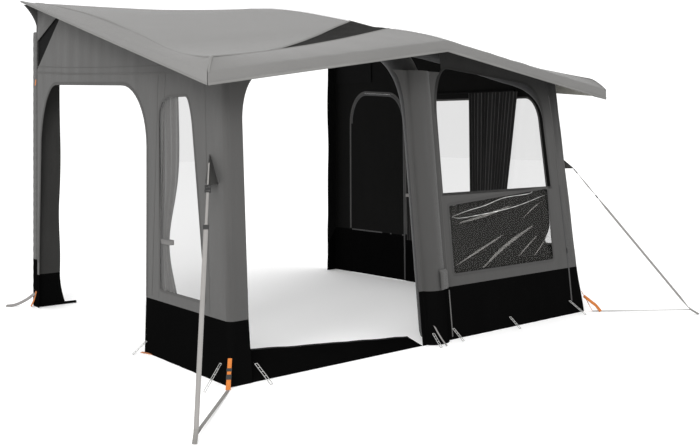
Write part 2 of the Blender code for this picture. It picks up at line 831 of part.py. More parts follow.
def middle_section(height, wing):
    front = front_depth(height)
    points = [Vector((-wing, -front, height))]
    for k in range(7):
        angle = math.pi * k / 6.0
        x = -math.cos(angle) * MIDDLE_TUBE_HALF
        y = -front - MIDDLE_BULGE * math.sin(angle)
        points.append(Vector((x, y, height)))
    points.append(Vector((wing, -front, height)))
    return points


def middle_sleeve():
    heights = flare_heights(WING_TOP_MIDDLE)

    def place(i, j):
        return middle_section(heights[j], middle_wing(heights[j]))[i]

    grid_sheet("leg_sleeve_middle", 8, len(heights) - 1, place, "wall_cloth")


# Front right panel


def veranda_loop(inset=0.0):
    """The upper opening of the right front panel; its head rises towards the ridge."""
    inner, outer, head = VERANDA
    radius = VERANDA_RADIUS - inset
    loop = arched(inner + inset, outer - inset, SILL_HEIGHT + inset, head - inset, head - inset,
                  (0.16, 0.30), (radius, radius))
    raised = []
    for u, v in loop:
        share = max(0.0, (v - SILL_HEIGHT - 0.3) / (head - SILL_HEIGHT - 0.3))
        lean = VERANDA_LEAN * (v - SILL_HEIGHT) * max(0.0, (u - inner) / (outer - inner))
        raised.append((u - lean, v + VERANDA_SLOPE * (outer - u) * share))
    return raised


def pane_loop(inset=0.0):
    """The lower opening of the right front panel; its head slopes up to the outer side."""
    left, right, foot = PANE
    corner = (PANE_RADIUS, PANE_RADIUS)
    return arched(left + inset, right - inset, foot + inset, PANE_HEAD[0] - inset, PANE_HEAD[1] - inset, corner,
                  corner, PANE_RADIUS)


def front_panel():
    gap = SEAM_GAP
    outline = [(side_wing(height) - gap, height) for height in flare_heights(WING_TOP_SIDE)]
    right = side_wing(PANEL_TOP) - gap
    left = middle_wing(WING_TOP_MIDDLE) + gap
    for k in range(7):
        x = right + (left - right) * k / 6.0
        top = roof_height(x, front_depth(PANEL_TOP + 0.01)) - CLOTH / 2.0 - PANEL_CLEARANCE
        outline.append((x, top))
    outline += [(middle_wing(height) + gap, height) for height in reversed(flare_heights(WING_TOP_MIDDLE))]
    return flat_outline("front_panel_right", [outline, pane_loop(), veranda_loop()], on_front(), "wall_cloth")


def front_film():
    return flat_outline("front_film_lower", [pane_loop(TOUCH * 2.0)], on_front(), "film", FILM)


def veranda_flap():
    """The upper half of the window, unzipped and folded down inside from the sill."""
    loop = [(u, 2.0 * SILL_HEIGHT - v) for u, v in veranda_loop(FLAP_CLEARANCE)]
    fold = on_front(CLOTH / 2.0 + FLAP_BEHIND + FILM / 2.0)
    loop.reverse()
    made = flat_outline("veranda_flap", [loop], fold, "film", FILM)
    return pivot(made, fold(0.0, SILL_HEIGHT))


def threshold():
    """The mud strip left across the open front, from the left leg to the middle leg."""
    columns, rows = 8, 2
    left, right = -LEG_WING_HALF + TOUCH, -MIDDLE_WING_HALF - TOUCH

    def place(i, j):
        share = i / columns
        x = left + (right - left) * share + THRESHOLD_LEG_CUT * (1.0 - share) * j / rows
        rise = THRESHOLD_RISE[0] + (THRESHOLD_RISE[1] - THRESHOLD_RISE[0]) * share
        part = j / rows
        depth = DEPTH - CLOTH - THRESHOLD_REACH * part
        return x, -depth, rise * part

    made = grid_sheet("threshold_strip", columns, rows, place, "mud_cloth", CLOTH, 1.0)
    return made


# Door, curtains and their track


def door_loop(inset):
    rear, front, head = DOOR_RIGHT
    return arched(rear + inset, front - inset, DOOR_FOOT, head - inset, head - inset - 0.02,
                  (0.22, 0.30), (0.22, 0.30))


def door():
    """The door of the right wall, sewn along its rear edge and zipped round the rest."""
    inset = DOOR_CLEARANCE
    rear, front, _ = DOOR_RIGHT
    hinge = Vector(on_side(1, -CLOTH / 2.0)(rear, MUD_HEIGHT_RIGHT))
    pivot(flat_outline("door_right", [door_loop(inset)], on_side(1), "wall_cloth"), hinge)


def curtain(sign, name, rear, front, top, foot, waist=None, foot_front=None, rearward=0.0):
    """A pleated curtain inside a side wall, drawn in at its waist when it is tied back.

    One that slides rearward hangs a little further in at its foot, where the wall comes in.
    """
    pleats = max(3, round((front - rear) / PLEAT_PITCH))
    columns, rows = pleats * 4, 5
    foot_front = front if foot_front is None else foot_front
    drift = rearward * LEG_LEAN / DEPTH

    def place(i, j):
        height = top + (foot - top) * j / rows
        share = j / rows
        front_here = front + (foot_front - front) * share
        rear_here = rear
        if waist:
            pinch = math.exp(-((height - waist) / WAIST_REACH) ** 2)
            middle = rear + (front - rear) * WAIST_MIDDLE
            rear_here += (middle - rear_here) * pinch * WAIST_PULL[0]
            front_here += (middle - front_here) * pinch * WAIST_PULL[1]
        u = rear_here + (front_here - rear_here) * i / columns
        wave = math.sin(2.0 * math.pi * pleats * i / columns)
        half = side_half(u, height) - CURTAIN_STANDOFF - CURTAIN_PLEAT * (1.0 + 0.8 * wave) / 1.8
        half -= drift * (top - height)
        return sign * half, -u, height

    return pivot(grid_sheet(name, columns, rows, place, "curtain_cloth", CURTAIN_CLOTH), place(0, 0))


def curtain_tracks():
    """Stiff tapes sewn along the walls, from which the curtains hang."""
    height = CURTAIN_TOP + TOUCH + TRACK_HEIGHT / 2.0
    for sign, side, rear, front in ((-1, "left", *TRACK_LEFT), (1, "right", *TRACK_RIGHT)):
        ends = []
        for u in (rear, front):
            half = side_half(u, height) - CLOTH / 2.0 - SEAM_GAP - CURTAIN_PLEAT / 2.0
            ends.append((sign * half, -u, height))
        bars("curtain_track_" + side, [(*ends, (1, 0, 0), CURTAIN_PLEAT, TRACK_HEIGHT)], "black_plastic")


def tieback(sign, name, rear, front, height):
    """A band round the curtain's waist, closed by its hook-and-loop tab."""
    ends = [side_half(u, height + TIEBACK_HEIGHT * side) for u in (rear, front) for side in (-0.5, 0.5)]
    near = min(ends) - CLOTH / 2.0 - SEAM_GAP - TIEBACK_CLOTH
    far = min(ends) - CURTAIN_STANDOFF - CURTAIN_PLEAT - CURTAIN_CLOTH / 2.0 - TIEBACK_CLOTH - SEAM_GAP / 2.0
    loop = [(near, rear), (near, front), (far, front), (far, rear)]

    def place(i, j):
        x, u = loop[i % 4]
        return sign * x, -u, height + TIEBACK_HEIGHT * (j - 0.5)

    mesh = bpy.data.meshes.new(name)
    work = bmesh.new()
    ring = []
    for j in (0, 1):
        ring.append([work.verts.new(place(i, j)) for i in range(4)])
    for i in range(4):
        after = (i + 1) % 4
        work.faces.new((ring[0][i], ring[0][after], ring[1][after], ring[1][i]))
    bmesh.ops.recalc_face_normals(work, faces=work.faces)
    work.to_mesh(mesh)
    work.free()
    return pivot(solidify(add_object(name, mesh, "webbing"), TIEBACK_CLOTH), place(0, 0))


def curtains():
    curtain_tracks()
    curtain(-1, "curtain_left", *CURTAIN_LEFT, CURTAIN_TOP, CURTAIN_FOOT, TIE_LEFT, 2.38)
    curtain(1, "curtain_right_rear", *CURTAIN_REAR, CURTAIN_TOP, CURTAIN_FOOT_REAR, TIE_RIGHT, 1.20)
    curtain(1, "curtain_right_middle", *CURTAIN_MIDDLE, CURTAIN_TOP, CURTAIN_FOOT_MIDDLE, None, 2.30,
            CURTAIN_REARWARD)
    tieback(-1, "tieback_left", CURTAIN_LEFT[0] + 0.0166, CURTAIN_LEFT[0] + 0.15, TIE_LEFT)
    tieback(1, "tieback_right", CURTAIN_REAR[0] + 0.002, CURTAIN_REAR[0] + 0.13, TIE_RIGHT)


# Storm straps and pegging


def storm_set(sign, side):
    """The patch on the leg, its buckle, and the strap that runs taut from it to the peg."""
    skin = CLOTH / 2.0 + TOUCH + STRAP_THICK

    def on_wall(ahead, height, out=0.0):
        depth = STORM_PATCH_DEPTH + ahead
        return Vector((sign * (side_half(depth, height) + skin + out), -depth, height))

    low = on_wall(0.0, STORM_PATCH_HEIGHT)
    peg = Vector((sign * STORM_JOIN[sign > 0][0], -STORM_JOIN[sign > 0][1], STORM_JOIN_LIFT))
    level = (Vector((peg.x, peg.y, low.z)) - low).normalized()
    nose = low + level * STORM_PATCH_REACH
    mesh = bpy.data.meshes.new("storm_patch_" + side)
    work = bmesh.new()
    tip = work.verts.new(on_wall(STORM_PATCH_TIP[0], STORM_PATCH_HEIGHT + STORM_PATCH_TIP[1]))
    rear = work.verts.new(on_wall(-STORM_PATCH_BACK, STORM_PATCH_HEIGHT, TOUCH))
    front = work.verts.new(on_wall(STORM_PATCH_AHEAD, STORM_PATCH_HEIGHT, TOUCH))
    end = work.verts.new(nose)
    work.faces.new((tip, rear, end))
    work.faces.new((tip, end, front))
    bmesh.ops.recalc_face_normals(work, faces=work.faces)
    work.to_mesh(mesh)
    work.free()
    solidify(add_object("storm_patch_" + side, mesh, "wall_cloth"), STRAP_THICK)

    along = (peg - nose).normalized()
    flat = along.cross(Vector((0, 0, 1))).normalized()
    start = nose + along * (STRAP_THICK / 2.0 + TOUCH)
    length, width, thick = BUCKLE_SIZE
    end = start + along * length
    bars("storm_buckle_" + side, [(start, end, flat, width, thick)], "black_plastic")
    strap_start = end + along * TOUCH
    bars("storm_strap_" + side, [(strap_start, peg, flat, STRAP_WIDTH, STRAP_THICK)], "webbing")

    length, width, thick = ADJUSTER_SIZE
    rest = strap_start + along * ADJUSTER_ALONG
    made = flat_outline("storm_adjuster_" + side, slotted(width, thick, STRAP_WIDTH, STRAP_THICK),
                        lambda u, v: rest + flat * u + along.cross(flat) * v, "black_plastic", length)
    pivot(made, rest)

    diagonal = Vector((sign, -1.0, 0.0)).normalized()
    corner = Vector((sign * FOOT_HALF_WIDTH, -DEPTH, GROUND_STRAP_LIFT))
    foot = corner + diagonal * (CORNER_STRAP_REACH + GROUND_STRAP_GAP)
    over = peg + (foot - peg).normalized() * GROUND_STRAP_STOP
    bars("storm_ground_line_" + side, [(foot, over, (over - foot).cross(Vector((0, 0, 1))), WEBBING_WIDTH,
                                        WEBBING_THICK)], "webbing")


def slotted(width, thick, slot_width, slot_thick):
    """A bar's section with the slot that the strap runs through."""
    clearance = 0.001
    outer = [(-width / 2, -thick / 2), (width / 2, -thick / 2), (width / 2, thick / 2), (-width / 2, thick / 2)]
    half_u, half_v = slot_width / 2.0 + clearance, slot_thick / 2.0 + clearance
    inner = [(-half_u, -half_v), (half_u, -half_v), (half_u, half_v), (-half_u, half_v)]
    return [outer, inner]


def outer_side(sign, u, height, out=0.0):
    return Vector((sign * (side_half(u, height) + CLOTH / 2.0 + SEAM_GAP + out), -u, height))


def outer_front(x, height, out=0.0):
    return Vector((x, -front_depth(height) - CLOTH / 2.0 - SEAM_GAP - out, height))


def peg_ladder(name, start, end, across):
    """A rubber ladder that hooks over a peg, from its seam down to the ground."""
    along = (end - start).normalized()
    length = (end - start).length
    half = LADDER_WIDTH / 2.0
    loops = [[(0.0, -half), (length, -half), (length, half), (0.0, half)]]
    pitch = length / LADDER_HOLES
    side = half - LADDER_RUNG
    for hole in range(LADDER_HOLES):
        near = pitch * hole + LADDER_RUNG
        far = pitch * (hole + 1) - LADDER_RUNG
        loops.append([(near, -side), (far, -side), (far, side), (near, side)])
    return flat_outline(name, loops, lambda u, v: start + along * u + across * v, "ladder_rubber", LADDER_THICK)


def pegging():
    lift = LADDER_THICK + 0.001
    side = outer_side(-1, LADDER_SIDE, LADDER_TOP)
    peg_ladder("peg_ladder_side", side, Vector((side.x - LADDER_REACH, side.y, lift)), Vector((0, 1, 0)))
    front = outer_front(LADDER_MIDDLE, LADDER_TOP)
    peg_ladder("peg_ladder_middle", front, Vector((front.x, front.y - LADDER_REACH, lift)), Vector((1, 0, 0)))
    front = outer_front(LADDER_FRONT, LADDER_TOP)
    peg_ladder("peg_ladder_front", front, Vector((front.x, front.y - LADDER_REACH, lift)), Vector((1, 0, 0)))
    for sign, name in ((-1, "corner_strap_left"), (1, "corner_strap_right")):
        out = Vector((sign, -1.0, 0.0)).normalized()
        across = Vector((1.0, sign, 0.0)).normalized()
        corner = Vector((sign * FOOT_HALF_WIDTH, -DEPTH, 0.0))
        lean = Vector((-sign * LEG_LEAN * CORNER_STRAP_TOP, FRONT_RAKE * CORNER_STRAP_TOP, CORNER_STRAP_TOP))
        rounding = LEG_CORNER_RADIUS * (math.sqrt(2.0) - 1.0) * CORNER_STRAP_TOP / MUD_HEIGHT
        top = corner + lean - out * (rounding - CLOTH / 2.0 - ORANGE_THICK * 0.7)
        foot = corner + out * CORNER_STRAP_REACH + Vector((0.0, 0.0, ORANGE_THICK * 2.0))
        bars(name, [(top, foot, across, ORANGE_WIDTH, ORANGE_THICK)], "orange_webbing")


# Inflation point


def valve_frame():
    """Centre on the sleeve's outer face, with the directions across, up and out."""
    slope = math.atan2(VALVE_X * MIDDLE_BULGE / MIDDLE_TUBE_HALF ** 2, math.sqrt(1.0 - (VALVE_X / MIDDLE_TUBE_HALF) ** 2))
    across = Vector((math.cos(slope), math.sin(slope), 0.0))
    up = Vector((0.0, FRONT_RAKE, 1.0)).normalized()
    out = across.cross(up).normalized()
    bulge = MIDDLE_BULGE * math.sqrt(1.0 - (VALVE_X / MIDDLE_TUBE_HALF) ** 2)
    centre = Vector((VALVE_X, -front_depth(VALVE_HEIGHT) - bulge, VALVE_HEIGHT))
    return centre + out * (CLOTH / 2.0 + SEAM_GAP), across, up, out


def circle(radius, count=24, ear=0.0):
    points = []
    for k in range(count):
        angle = 2.0 * math.pi * k / count
        reach = radius + ear * max(0.0, math.cos(2.0 * angle)) ** 6
        points.append((reach * math.cos(angle), reach * math.sin(angle)))
    return points


def inflation_point():
    centre, across, up, out = valve_frame()

    def at(distance):
        return lambda u, v: centre + across * u + up * v + out * distance

    flat_outline("valve_body", [circle(VALVE_RADIUS), circle(VALVE_BORE)], at(VALVE_DEPTH / 2.0), "black_plastic",
                 VALVE_DEPTH)
    pin_middle = VALVE_DEPTH - PIN_BELOW - PIN_THICK / 2.0
    pin = flat_outline("valve_pin", [circle(VALVE_BORE - TOUCH)], at(pin_middle), "black_plastic", PIN_THICK)
    pivot(pin, centre + out * pin_middle)
    cap_middle = VALVE_DEPTH + TOUCH + CAP_THICK / 2.0
    cap = flat_outline("valve_cap", [circle(VALVE_RADIUS, 36, CAP_EAR)], at(cap_middle), "black_plastic", CAP_THICK)
    pivot(cap, centre + out * cap_middle)
    width, height = VALVE_FLAP
    clear = cap_middle + CAP_THICK / 2.0 + VALVE_FLAP_CLOTH
    lifts = (0.0, clear, clear, clear)
    drops = (*VALVE_FLAP_DROPS, height)

    def place(i, j):
        return centre + across * width * (i / 2.0 - 0.5) + up * (VALVE_FLAP_TOP - drops[j]) + out * lifts[j]

    flap = grid_sheet("valve_flap", 2, 3, place, "wall_cloth", VALVE_FLAP_CLOTH, 0.0)
    pivot(flap, place(1, 0))


# Zip sliders


def zip_slider(name, foot, along, normal):
    """A slider with its pull tab hanging below, riding on the outside of a zip."""
    length, width, thick = SLIDER_SIZE
    tab_length, tab_width = PULL_TAB
    side = along.cross(normal)
    half, tab = width / 2.0, tab_width / 2.0
    loop = [(-tab_length, -tab), (0.0, -tab), (0.0, -half), (length, -half), (length, half), (0.0, half),
            (0.0, tab), (-tab_length, tab)]
    middle = foot + normal * (thick / 2.0)
    made = flat_outline(name, [loop], lambda u, v: middle + along * u + side * v, "black_plastic", thick)
    return pivot(made, foot)


def zip_sliders():
    edge = DOOR_RIGHT[1] + SLIDER_SIZE[1] / 2.0 + SEAM_GAP * 2.0
    foot = outer_side(1, edge, SLIDER_REST, -SLIDER_SEAT)
    along = (outer_side(1, edge, SLIDER_REST + SLIDER_TRAVEL, -SLIDER_SEAT) - foot).normalized()
    zip_slider("zip_slider_door", foot, along, Vector((1.0, 0.0, LEG_LEAN * edge / DEPTH)).normalized())
    foot = outer_front(side_wing(SLIDER_REST), SLIDER_REST, -SLIDER_SEAT)
    end = SLIDER_REST + SLIDER_TRAVEL
    along = (outer_front(side_wing(end), end, -SLIDER_SEAT) - foot).normalized()
    zip_slider("zip_slider_front", foot, along, Vector((0.0, -1.0, FRONT_RAKE)).normalized())


def footprint_middle():
    """Middle of the depth taken up by everything but the straps that run out to the pegs."""
    bpy.context.view_layer.update()
    seen = bpy.context.evaluated_depsgraph_get()
    depths = []
    for made in AWNING.objects:
        if made.name.startswith(("storm_strap", "storm_ground_line", "storm_adjuster")):
            continue
        shape = made.evaluated_get(seen)
        mesh = shape.to_mesh()
        depths += [(shape.matrix_world @ corner.co).y for corner in mesh.vertices]
        shape.to_mesh_clear()
    return (min(depths) + max(depths)) / 2.0


def build():
    roof_main()
    front_canopy()
    side_band(-1, "side_band_left")
    side_band(1, "side_band_right")
    roof_vent_mesh()
    rail_beading()
    side_wall_left()
    side_wall_right()
    mudwalls()
    window_films()
    rear_gusset(-1, "rear_gusset_left")
    rear_gusset(1, "rear_gusset_right")
    rear_panel(-1, "rear_panel_left")
    rear_panel(1, "rear_panel_right")
    rear_mudflap(-1, "rear_mudflap_left")
    rear_mudflap(1, "rear_mudflap_right")
    rear_seal(-1, "rear_seal_left")
    rear_seal(1, "rear_seal_right")
    air_beams()
    leg_sleeve(-1, "leg_sleeve_left")
    leg_sleeve(1, "leg_sleeve_right")
    middle_sleeve()
    front_panel()
    front_film()
    veranda_flap()
    threshold()
    door()
    curtains()
    storm_set(-1, "left")
    storm_set(1, "right")
    pegging()
    inflation_point()
    zip_sliders()


build()
SHIFT_Y = -footprint_middle()
for piece in AWNING.objects:
    piece.location.y += SHIFT_Y
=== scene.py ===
"""Dresses the campervan awning: cloth, film, webbing and trim over its fixed frame."""

import math

import bmesh
import bpy
from bpy.props import FloatProperty, FloatVectorProperty, PointerProperty
from bpy.types import Operator, Panel, PropertyGroup
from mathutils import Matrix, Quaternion, Vector, noise

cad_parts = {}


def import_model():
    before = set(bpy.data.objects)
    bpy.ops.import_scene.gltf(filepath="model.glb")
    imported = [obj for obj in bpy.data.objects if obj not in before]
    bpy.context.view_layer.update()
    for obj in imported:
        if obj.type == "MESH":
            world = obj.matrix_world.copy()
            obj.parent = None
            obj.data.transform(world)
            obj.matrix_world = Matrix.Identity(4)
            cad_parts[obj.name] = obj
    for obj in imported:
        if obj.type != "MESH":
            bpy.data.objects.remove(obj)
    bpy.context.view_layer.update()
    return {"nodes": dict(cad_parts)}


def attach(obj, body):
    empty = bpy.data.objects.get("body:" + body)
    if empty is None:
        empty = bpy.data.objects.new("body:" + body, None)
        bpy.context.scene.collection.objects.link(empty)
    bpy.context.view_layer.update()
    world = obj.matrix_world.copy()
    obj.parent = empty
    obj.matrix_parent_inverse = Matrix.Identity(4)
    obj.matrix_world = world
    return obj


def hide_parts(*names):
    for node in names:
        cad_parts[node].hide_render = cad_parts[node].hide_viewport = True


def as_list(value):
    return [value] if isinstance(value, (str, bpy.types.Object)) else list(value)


bl_info = {
    "name": "Campervan awning",
    "version": (1, 0, 0),
    "blender": (4, 5, 0),
    "location": "View3D > Sidebar > Awning",
    "description": "Builds the awning's cloth, film, webbing and trim",
    "category": "Object",
}

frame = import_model()

# Driving sizes in metres, the same as the frame's where it has them. Depths run forward from the rail.
SHIFT_Y = 1.5089
RAIL_HEIGHT = 2.50
REAR_HALF_WIDTH = 1.59
FOOT_HALF_WIDTH = 1.68
DEPTH = 3.01
FRONT_RAKE = 0.11
LEG_LEAN = 0.045
RIDGE_RISE = 0.035
RIDGE_FALL = (0.0, 0.012, 0.079, 0.250, 0.352, 0.463)
SIDE_FALL = (0.0, 0.100, 0.235, 0.440, 0.590, 0.645)
FALL_STATIONS = (0.0, 0.60, 1.30, 2.09, 2.55, 3.10)
CREASE_HALF_REAR = 1.62
CREASE_HALF_FRONT = 1.80
CREASE_DEPTH = 3.00
EAVE_HALF_REAR = 1.73
EAVE_HALF_FRONT = 1.875
EAVE_DEPTH = 3.085
EAVE_CORNER_HEIGHT = 1.70
PEAK_DEPTH = 3.101
PEAK_HEIGHT = 1.985
FASCIA_DROP = 0.08
SEAM_RIDGE_DEPTH = 2.52
VENT_RIDGE_DEPTH = 2.09
VENT_HALF_WIDTH = 1.34
ROOF_SAG = 0.012
ROOF_ROUNDING = 0.22
CLOTH = 0.004
MUD_HEIGHT = 0.36
MUD_HEIGHT_RIGHT = 0.44
REAR_MUD_HEIGHT = 0.27
BEAM_RADIUS = 0.095
BEAM_INSET = BEAM_RADIUS + 0.0039
SIDE_BEAM_RADIUS = 0.060
SIDE_BEAM_INSET = SIDE_BEAM_RADIUS + 0.0030
LEG_CORNER_RADIUS = 0.040
BEAM_BELOW_ROOF = 0.018
BEAM_REAR = 0.058
BEAM_FROM_WALL = 0.045
LEG_WING_HALF = 1.53
MIDDLE_WING_HALF = 0.145
MIDDLE_BULGE = 0.055
MIDDLE_TUBE_HALF = 0.10
FLARE_HEIGHT = 0.30
FLARE_LEFT = 0.15
FLARE_RIGHT = 0.04
FLARE_MIDDLE = 0.10
WING_TAPER = 0.036
WING_TOP_SIDE = 1.80
WING_TOP_MIDDLE = 1.87
DOOR_LEFT = (0.040, 1.942, 1.79)
DOOR_RIGHT = (0.245, 1.02, 1.82)
DOOR_LEAN = (0.10, 0.05)
DOOR_LEAN_START = 0.95
WINDOW_LEFT = (2.135, 2.70, 0.437, 1.665, 0.075, FRONT_RAKE * 1.25)
WINDOW_RIGHT = (1.22, 2.725, 0.52, 1.72, 0.0, FRONT_RAKE)
WINDOW_RADIUS = 0.13
LEG_EDGE_FOOT = 2.80
GUSSET_LENGTH = 0.53
GUSSET_WALL_HEIGHT = 1.95
GUSSET_FLAP_HEIGHT = 2.185
SEAL_TOP = 2.26
REAR_PANEL_WIDTH = (0.19, 0.115)
REAR_PANEL_FLARE = (0.05, 0.005)
SILL_HEIGHT = 1.01
PANEL_TOP = 1.94
PANE = (0.215, 1.345, 0.445)
PANE_HEAD = (0.920, 0.993)
PANE_RADIUS = 0.02
VERANDA = (0.165, 1.395, 1.80)
VERANDA_RADIUS = 0.20
VERANDA_SLOPE = 0.09
VERANDA_LEAN = 0.05
THRESHOLD_RISE = (0.15, 0.035)
THRESHOLD_REACH = 0.14
THRESHOLD_LEG_CUT = 0.085
CURTAIN_PLEAT = 0.022
CURTAIN_STANDOFF = 0.010
CURTAIN_TOP = 1.78
TIE_LEFT = 0.74
TIE_RIGHT = 0.83
CURTAIN_LEFT = (2.08, 2.25)
CURTAIN_REAR = (1.06, 1.22)
CURTAIN_MIDDLE = (1.84, 2.36)
STORM_JOIN = ((2.289, 3.648), (2.248, 3.610))
STORM_JOIN_LIFT = 0.030
STORM_PEG = ((2.330, 3.703), (2.234, 3.687))
STORM_PATCH_DEPTH = 2.71
STORM_PATCH_HEIGHT = 1.14
STORM_PATCH_TIP = (-0.015, 0.175)
STORM_PATCH_BACK = 0.055
STORM_PATCH_AHEAD = 0.095
STORM_PATCH_REACH = 0.19
ADJUSTER_ALONG = 0.24
CORNER_STRAP_REACH = 0.065
GROUND_STRAP_GAP = 0.0012
GROUND_STRAP_STOP = 0.050
STRAP_WIDTH = 0.025

# Where the cloths stand, in metres
OUTER_FACE = CLOTH / 2.0 + 0.0013
WALL_BELOW_ROOF = 0.0067
LEG_BELOW_ROOF = 0.0107
PANEL_BELOW_ROOF = 0.019
PATCH_STANDOFF = 0.0044
MUD_LIFT = 0.0008
REAR_MUD_LIFT = 0.0006
TAPE_LIFT = 0.0012
STITCH_LIFT = 0.0010
GROUND_LIFT = 0.004
EDGE_GAP = 0.0004

# Cloth thickness, the width of webbing, the fineness of the meshes, and the least share of its cut that a sheet's
# area is given as
VISUAL_CLOTH = 0.0016
LINING_CLOTH = 0.0008
CURTAIN_CLOTH = 0.0011
GROUND_WIDTH = 0.020
STRAP_TWIST = math.radians(38.0)
PANEL_CELL = 0.035
FINE_CELL = 0.025
FILM_CELL = 0.05
ARC_STEPS = 10

# Camera, fitted to points picked in the photographed view
CAMERA_PLACE = (-4.5506, -5.8968, 1.4631)
CAMERA_YAW = math.radians(-40.54)
CAMERA_LENS = 47.355
CAMERA_SHIFT_Y = -0.1344
SENSOR = 36.0

# Studio: a pale floor under an even sky, and one large soft light from the left
FLOOR_HALF = 30.0
FLOOR_DROP = -0.0005
FLOOR_GLOW = 0.10
SKY_STRENGTH = 1.2
LIGHT_PLACE = (-7.5, -6.0, 5.2)
LIGHT_POWER = 620.0
LIGHT_SIZE = (5.0, 4.0)


# Settings that a user would change


def colour_setting(name, description, default):
    return FloatVectorProperty(name=name, description=description, subtype="COLOR", size=3, min=0.0, max=1.0,
                               default=default)


class AwningSettings(PropertyGroup):
    cloth: FloatProperty(name="Cloth thickness", description="Thickness of the coated cloth", unit="LENGTH",
                         default=VISUAL_CLOTH, min=0.0005, max=0.004)
    fold: FloatProperty(name="Fold depth", description="How far the walls' soft folds stand out", unit="LENGTH",
                        default=0.0045, min=0.0, max=0.008)
    slack: FloatProperty(name="Roof slack", description="How far the roof's soft folds stand out", unit="LENGTH",
                         default=0.004, min=0.0, max=0.008)
    roof_colour: colour_setting("Roof colour", "Colour of the roof's outer side", (0.137, 0.135, 0.131))
    wall_colour: colour_setting("Wall colour", "Colour of the walls' outer side", (0.056, 0.055, 0.0535))
    # The inner side is near-black: the shade inside the awning painted into its colour
    lining_colour: colour_setting("Lining colour", "Colour of the walls' inner side", (0.0055, 0.0055, 0.0053))
    peg_strap_colour: colour_setting("Peg strap colour", "Colour of the corner peg straps", (0.46, 0.130, 0.010))


# Surfaces of the shelter


def world(x, depth, height):
    return Vector((x, SHIFT_Y - depth, height))


def between(near, far, share):
    return near + (far - near) * share


def profile(depth, falls):
    """The fall below the rail at a depth, on straight runs between the stations."""
    depth = max(0.0, min(depth, FALL_STATIONS[-1]))
    for k in range(len(falls) - 1):
        near, far = FALL_STATIONS[k], FALL_STATIONS[k + 1]
        if depth <= far:
            share = (depth - near) / (far - near)
            return falls[k] + (falls[k + 1] - falls[k]) * share
    return falls[-1]


def smooth_profile(depth, falls):
    """The fall averaged over a short stretch, which rounds the roof over its stations."""
    total = 0.0
    for k in range(5):
        total += profile(depth + ROOF_ROUNDING * (k - 2) / 2.0, falls)
    return total / 5.0


def crease_half(depth):
    return CREASE_HALF_REAR + (CREASE_HALF_FRONT - CREASE_HALF_REAR) * depth / CREASE_DEPTH


def roof_height(x, depth):
    ridge = RAIL_HEIGHT + RIDGE_RISE - smooth_profile(depth, RIDGE_FALL)
    side = RAIL_HEIGHT - smooth_profile(depth, SIDE_FALL)
    share = min(1.0, abs(x) / crease_half(depth))
    sag = ROOF_SAG * 4.0 * share * (1.0 - share) * min(1.0, depth / 0.5)
    return between(ridge, side, share) - sag


def side_half(depth, height):
    share = depth / DEPTH
    splay = (FOOT_HALF_WIDTH - REAR_HALF_WIDTH) * share
    return REAR_HALF_WIDTH + splay - LEG_LEAN * height * max(0.0, share)


def front_depth(height):
    return DEPTH - FRONT_RAKE * height


def seam_depth(x):
    share = 1.0 - abs(x) / CREASE_HALF_FRONT
    return between(CREASE_DEPTH, SEAM_RIDGE_DEPTH, share)


def main_edge_depth(x):
    if abs(x) >= VENT_HALF_WIDTH:
        return seam_depth(x)
    joined = seam_depth(VENT_HALF_WIDTH)
    return joined + (VENT_RIDGE_DEPTH - joined) * (1.0 - abs(x) / VENT_HALF_WIDTH)


def eave_half(depth):
    return EAVE_HALF_REAR + (EAVE_HALF_FRONT - EAVE_HALF_REAR) * depth / EAVE_DEPTH


def eave_height(depth):
    return RAIL_HEIGHT - 0.01 + (EAVE_CORNER_HEIGHT - RAIL_HEIGHT + 0.01) * depth / EAVE_DEPTH


def wall_top(u):
    return roof_height(side_half(u, RAIL_HEIGHT), u) - WALL_BELOW_ROOF


def leg_edge(height):
    return LEG_EDGE_FOOT - FRONT_RAKE * height


def flare(height, top, reach):
    start = top - FLARE_HEIGHT
    if height <= start:
        return 0.0
    share = min(1.0, (height - start) / FLARE_HEIGHT)
    return reach * (1.0 - math.sqrt(max(0.0, 1.0 - share * share)))


def side_wing(height, reach=FLARE_RIGHT):
    taper = WING_TAPER * (height - MUD_HEIGHT)
    return LEG_WING_HALF - max(0.0, taper) - flare(height, WING_TOP_SIDE, reach)


def middle_wing(height):
    return MIDDLE_WING_HALF + flare(height, WING_TOP_MIDDLE, FLARE_MIDDLE)


# Outlines


def ellipse_corner(centre, radii, start, end, steps=ARC_STEPS):
    points = []
    for k in range(steps + 1):
        angle = math.radians(start + (end - start) * k / steps)
        points.append((centre[0] + radii[0] * math.cos(angle), centre[1] + radii[1] * math.sin(angle)))
    return points


def arched(left, right, foot, head_left, head_right, radii_left, radii_right, foot_radius=0.0):
    points = []
    if foot_radius:
        points += ellipse_corner((left + foot_radius, foot + foot_radius), (foot_radius,) * 2, 180, 270, 4)
        points += ellipse_corner((right - foot_radius, foot + foot_radius), (foot_radius,) * 2, 270, 360, 4)
    else:
        points += [(left, foot), (right, foot)]
    points += ellipse_corner((right - radii_right[0], head_right - radii_right[1]), radii_right, 0, 90)
    points += ellipse_corner((left + radii_left[0], head_left - radii_left[1]), radii_left, 90, 180)
    return points


def window_loop(window, inset=0.0):
    rear, front, foot, head, lean, slant = window
    radius = WINDOW_RADIUS - inset
    loop = arched(rear + inset, front - inset, foot + inset, head - inset, head - inset,
                  (radius, radius), (radius, radius * 1.4), 0.02)
    middle = (rear + front) / 2.0
    leaned = []
    for u, v in loop:
        share = max(0.0, (u - middle) / (front - middle))
        leaned.append((u - (lean + share * slant) * (v - foot), v))
    return leaned


def leg_edge_top():
    top_u = leg_edge(1.9)
    for _ in range(6):
        top_u = leg_edge(wall_top(top_u))
    return top_u


def upper_edge(rear_u, rear_v):
    points = []
    top_u = leg_edge_top()
    steps = 24
    for k in range(steps + 1):
        u = top_u + (GUSSET_LENGTH - top_u) * k / steps
        points.append((u, wall_top(u)))
    points.append((rear_u, rear_v))
    return points


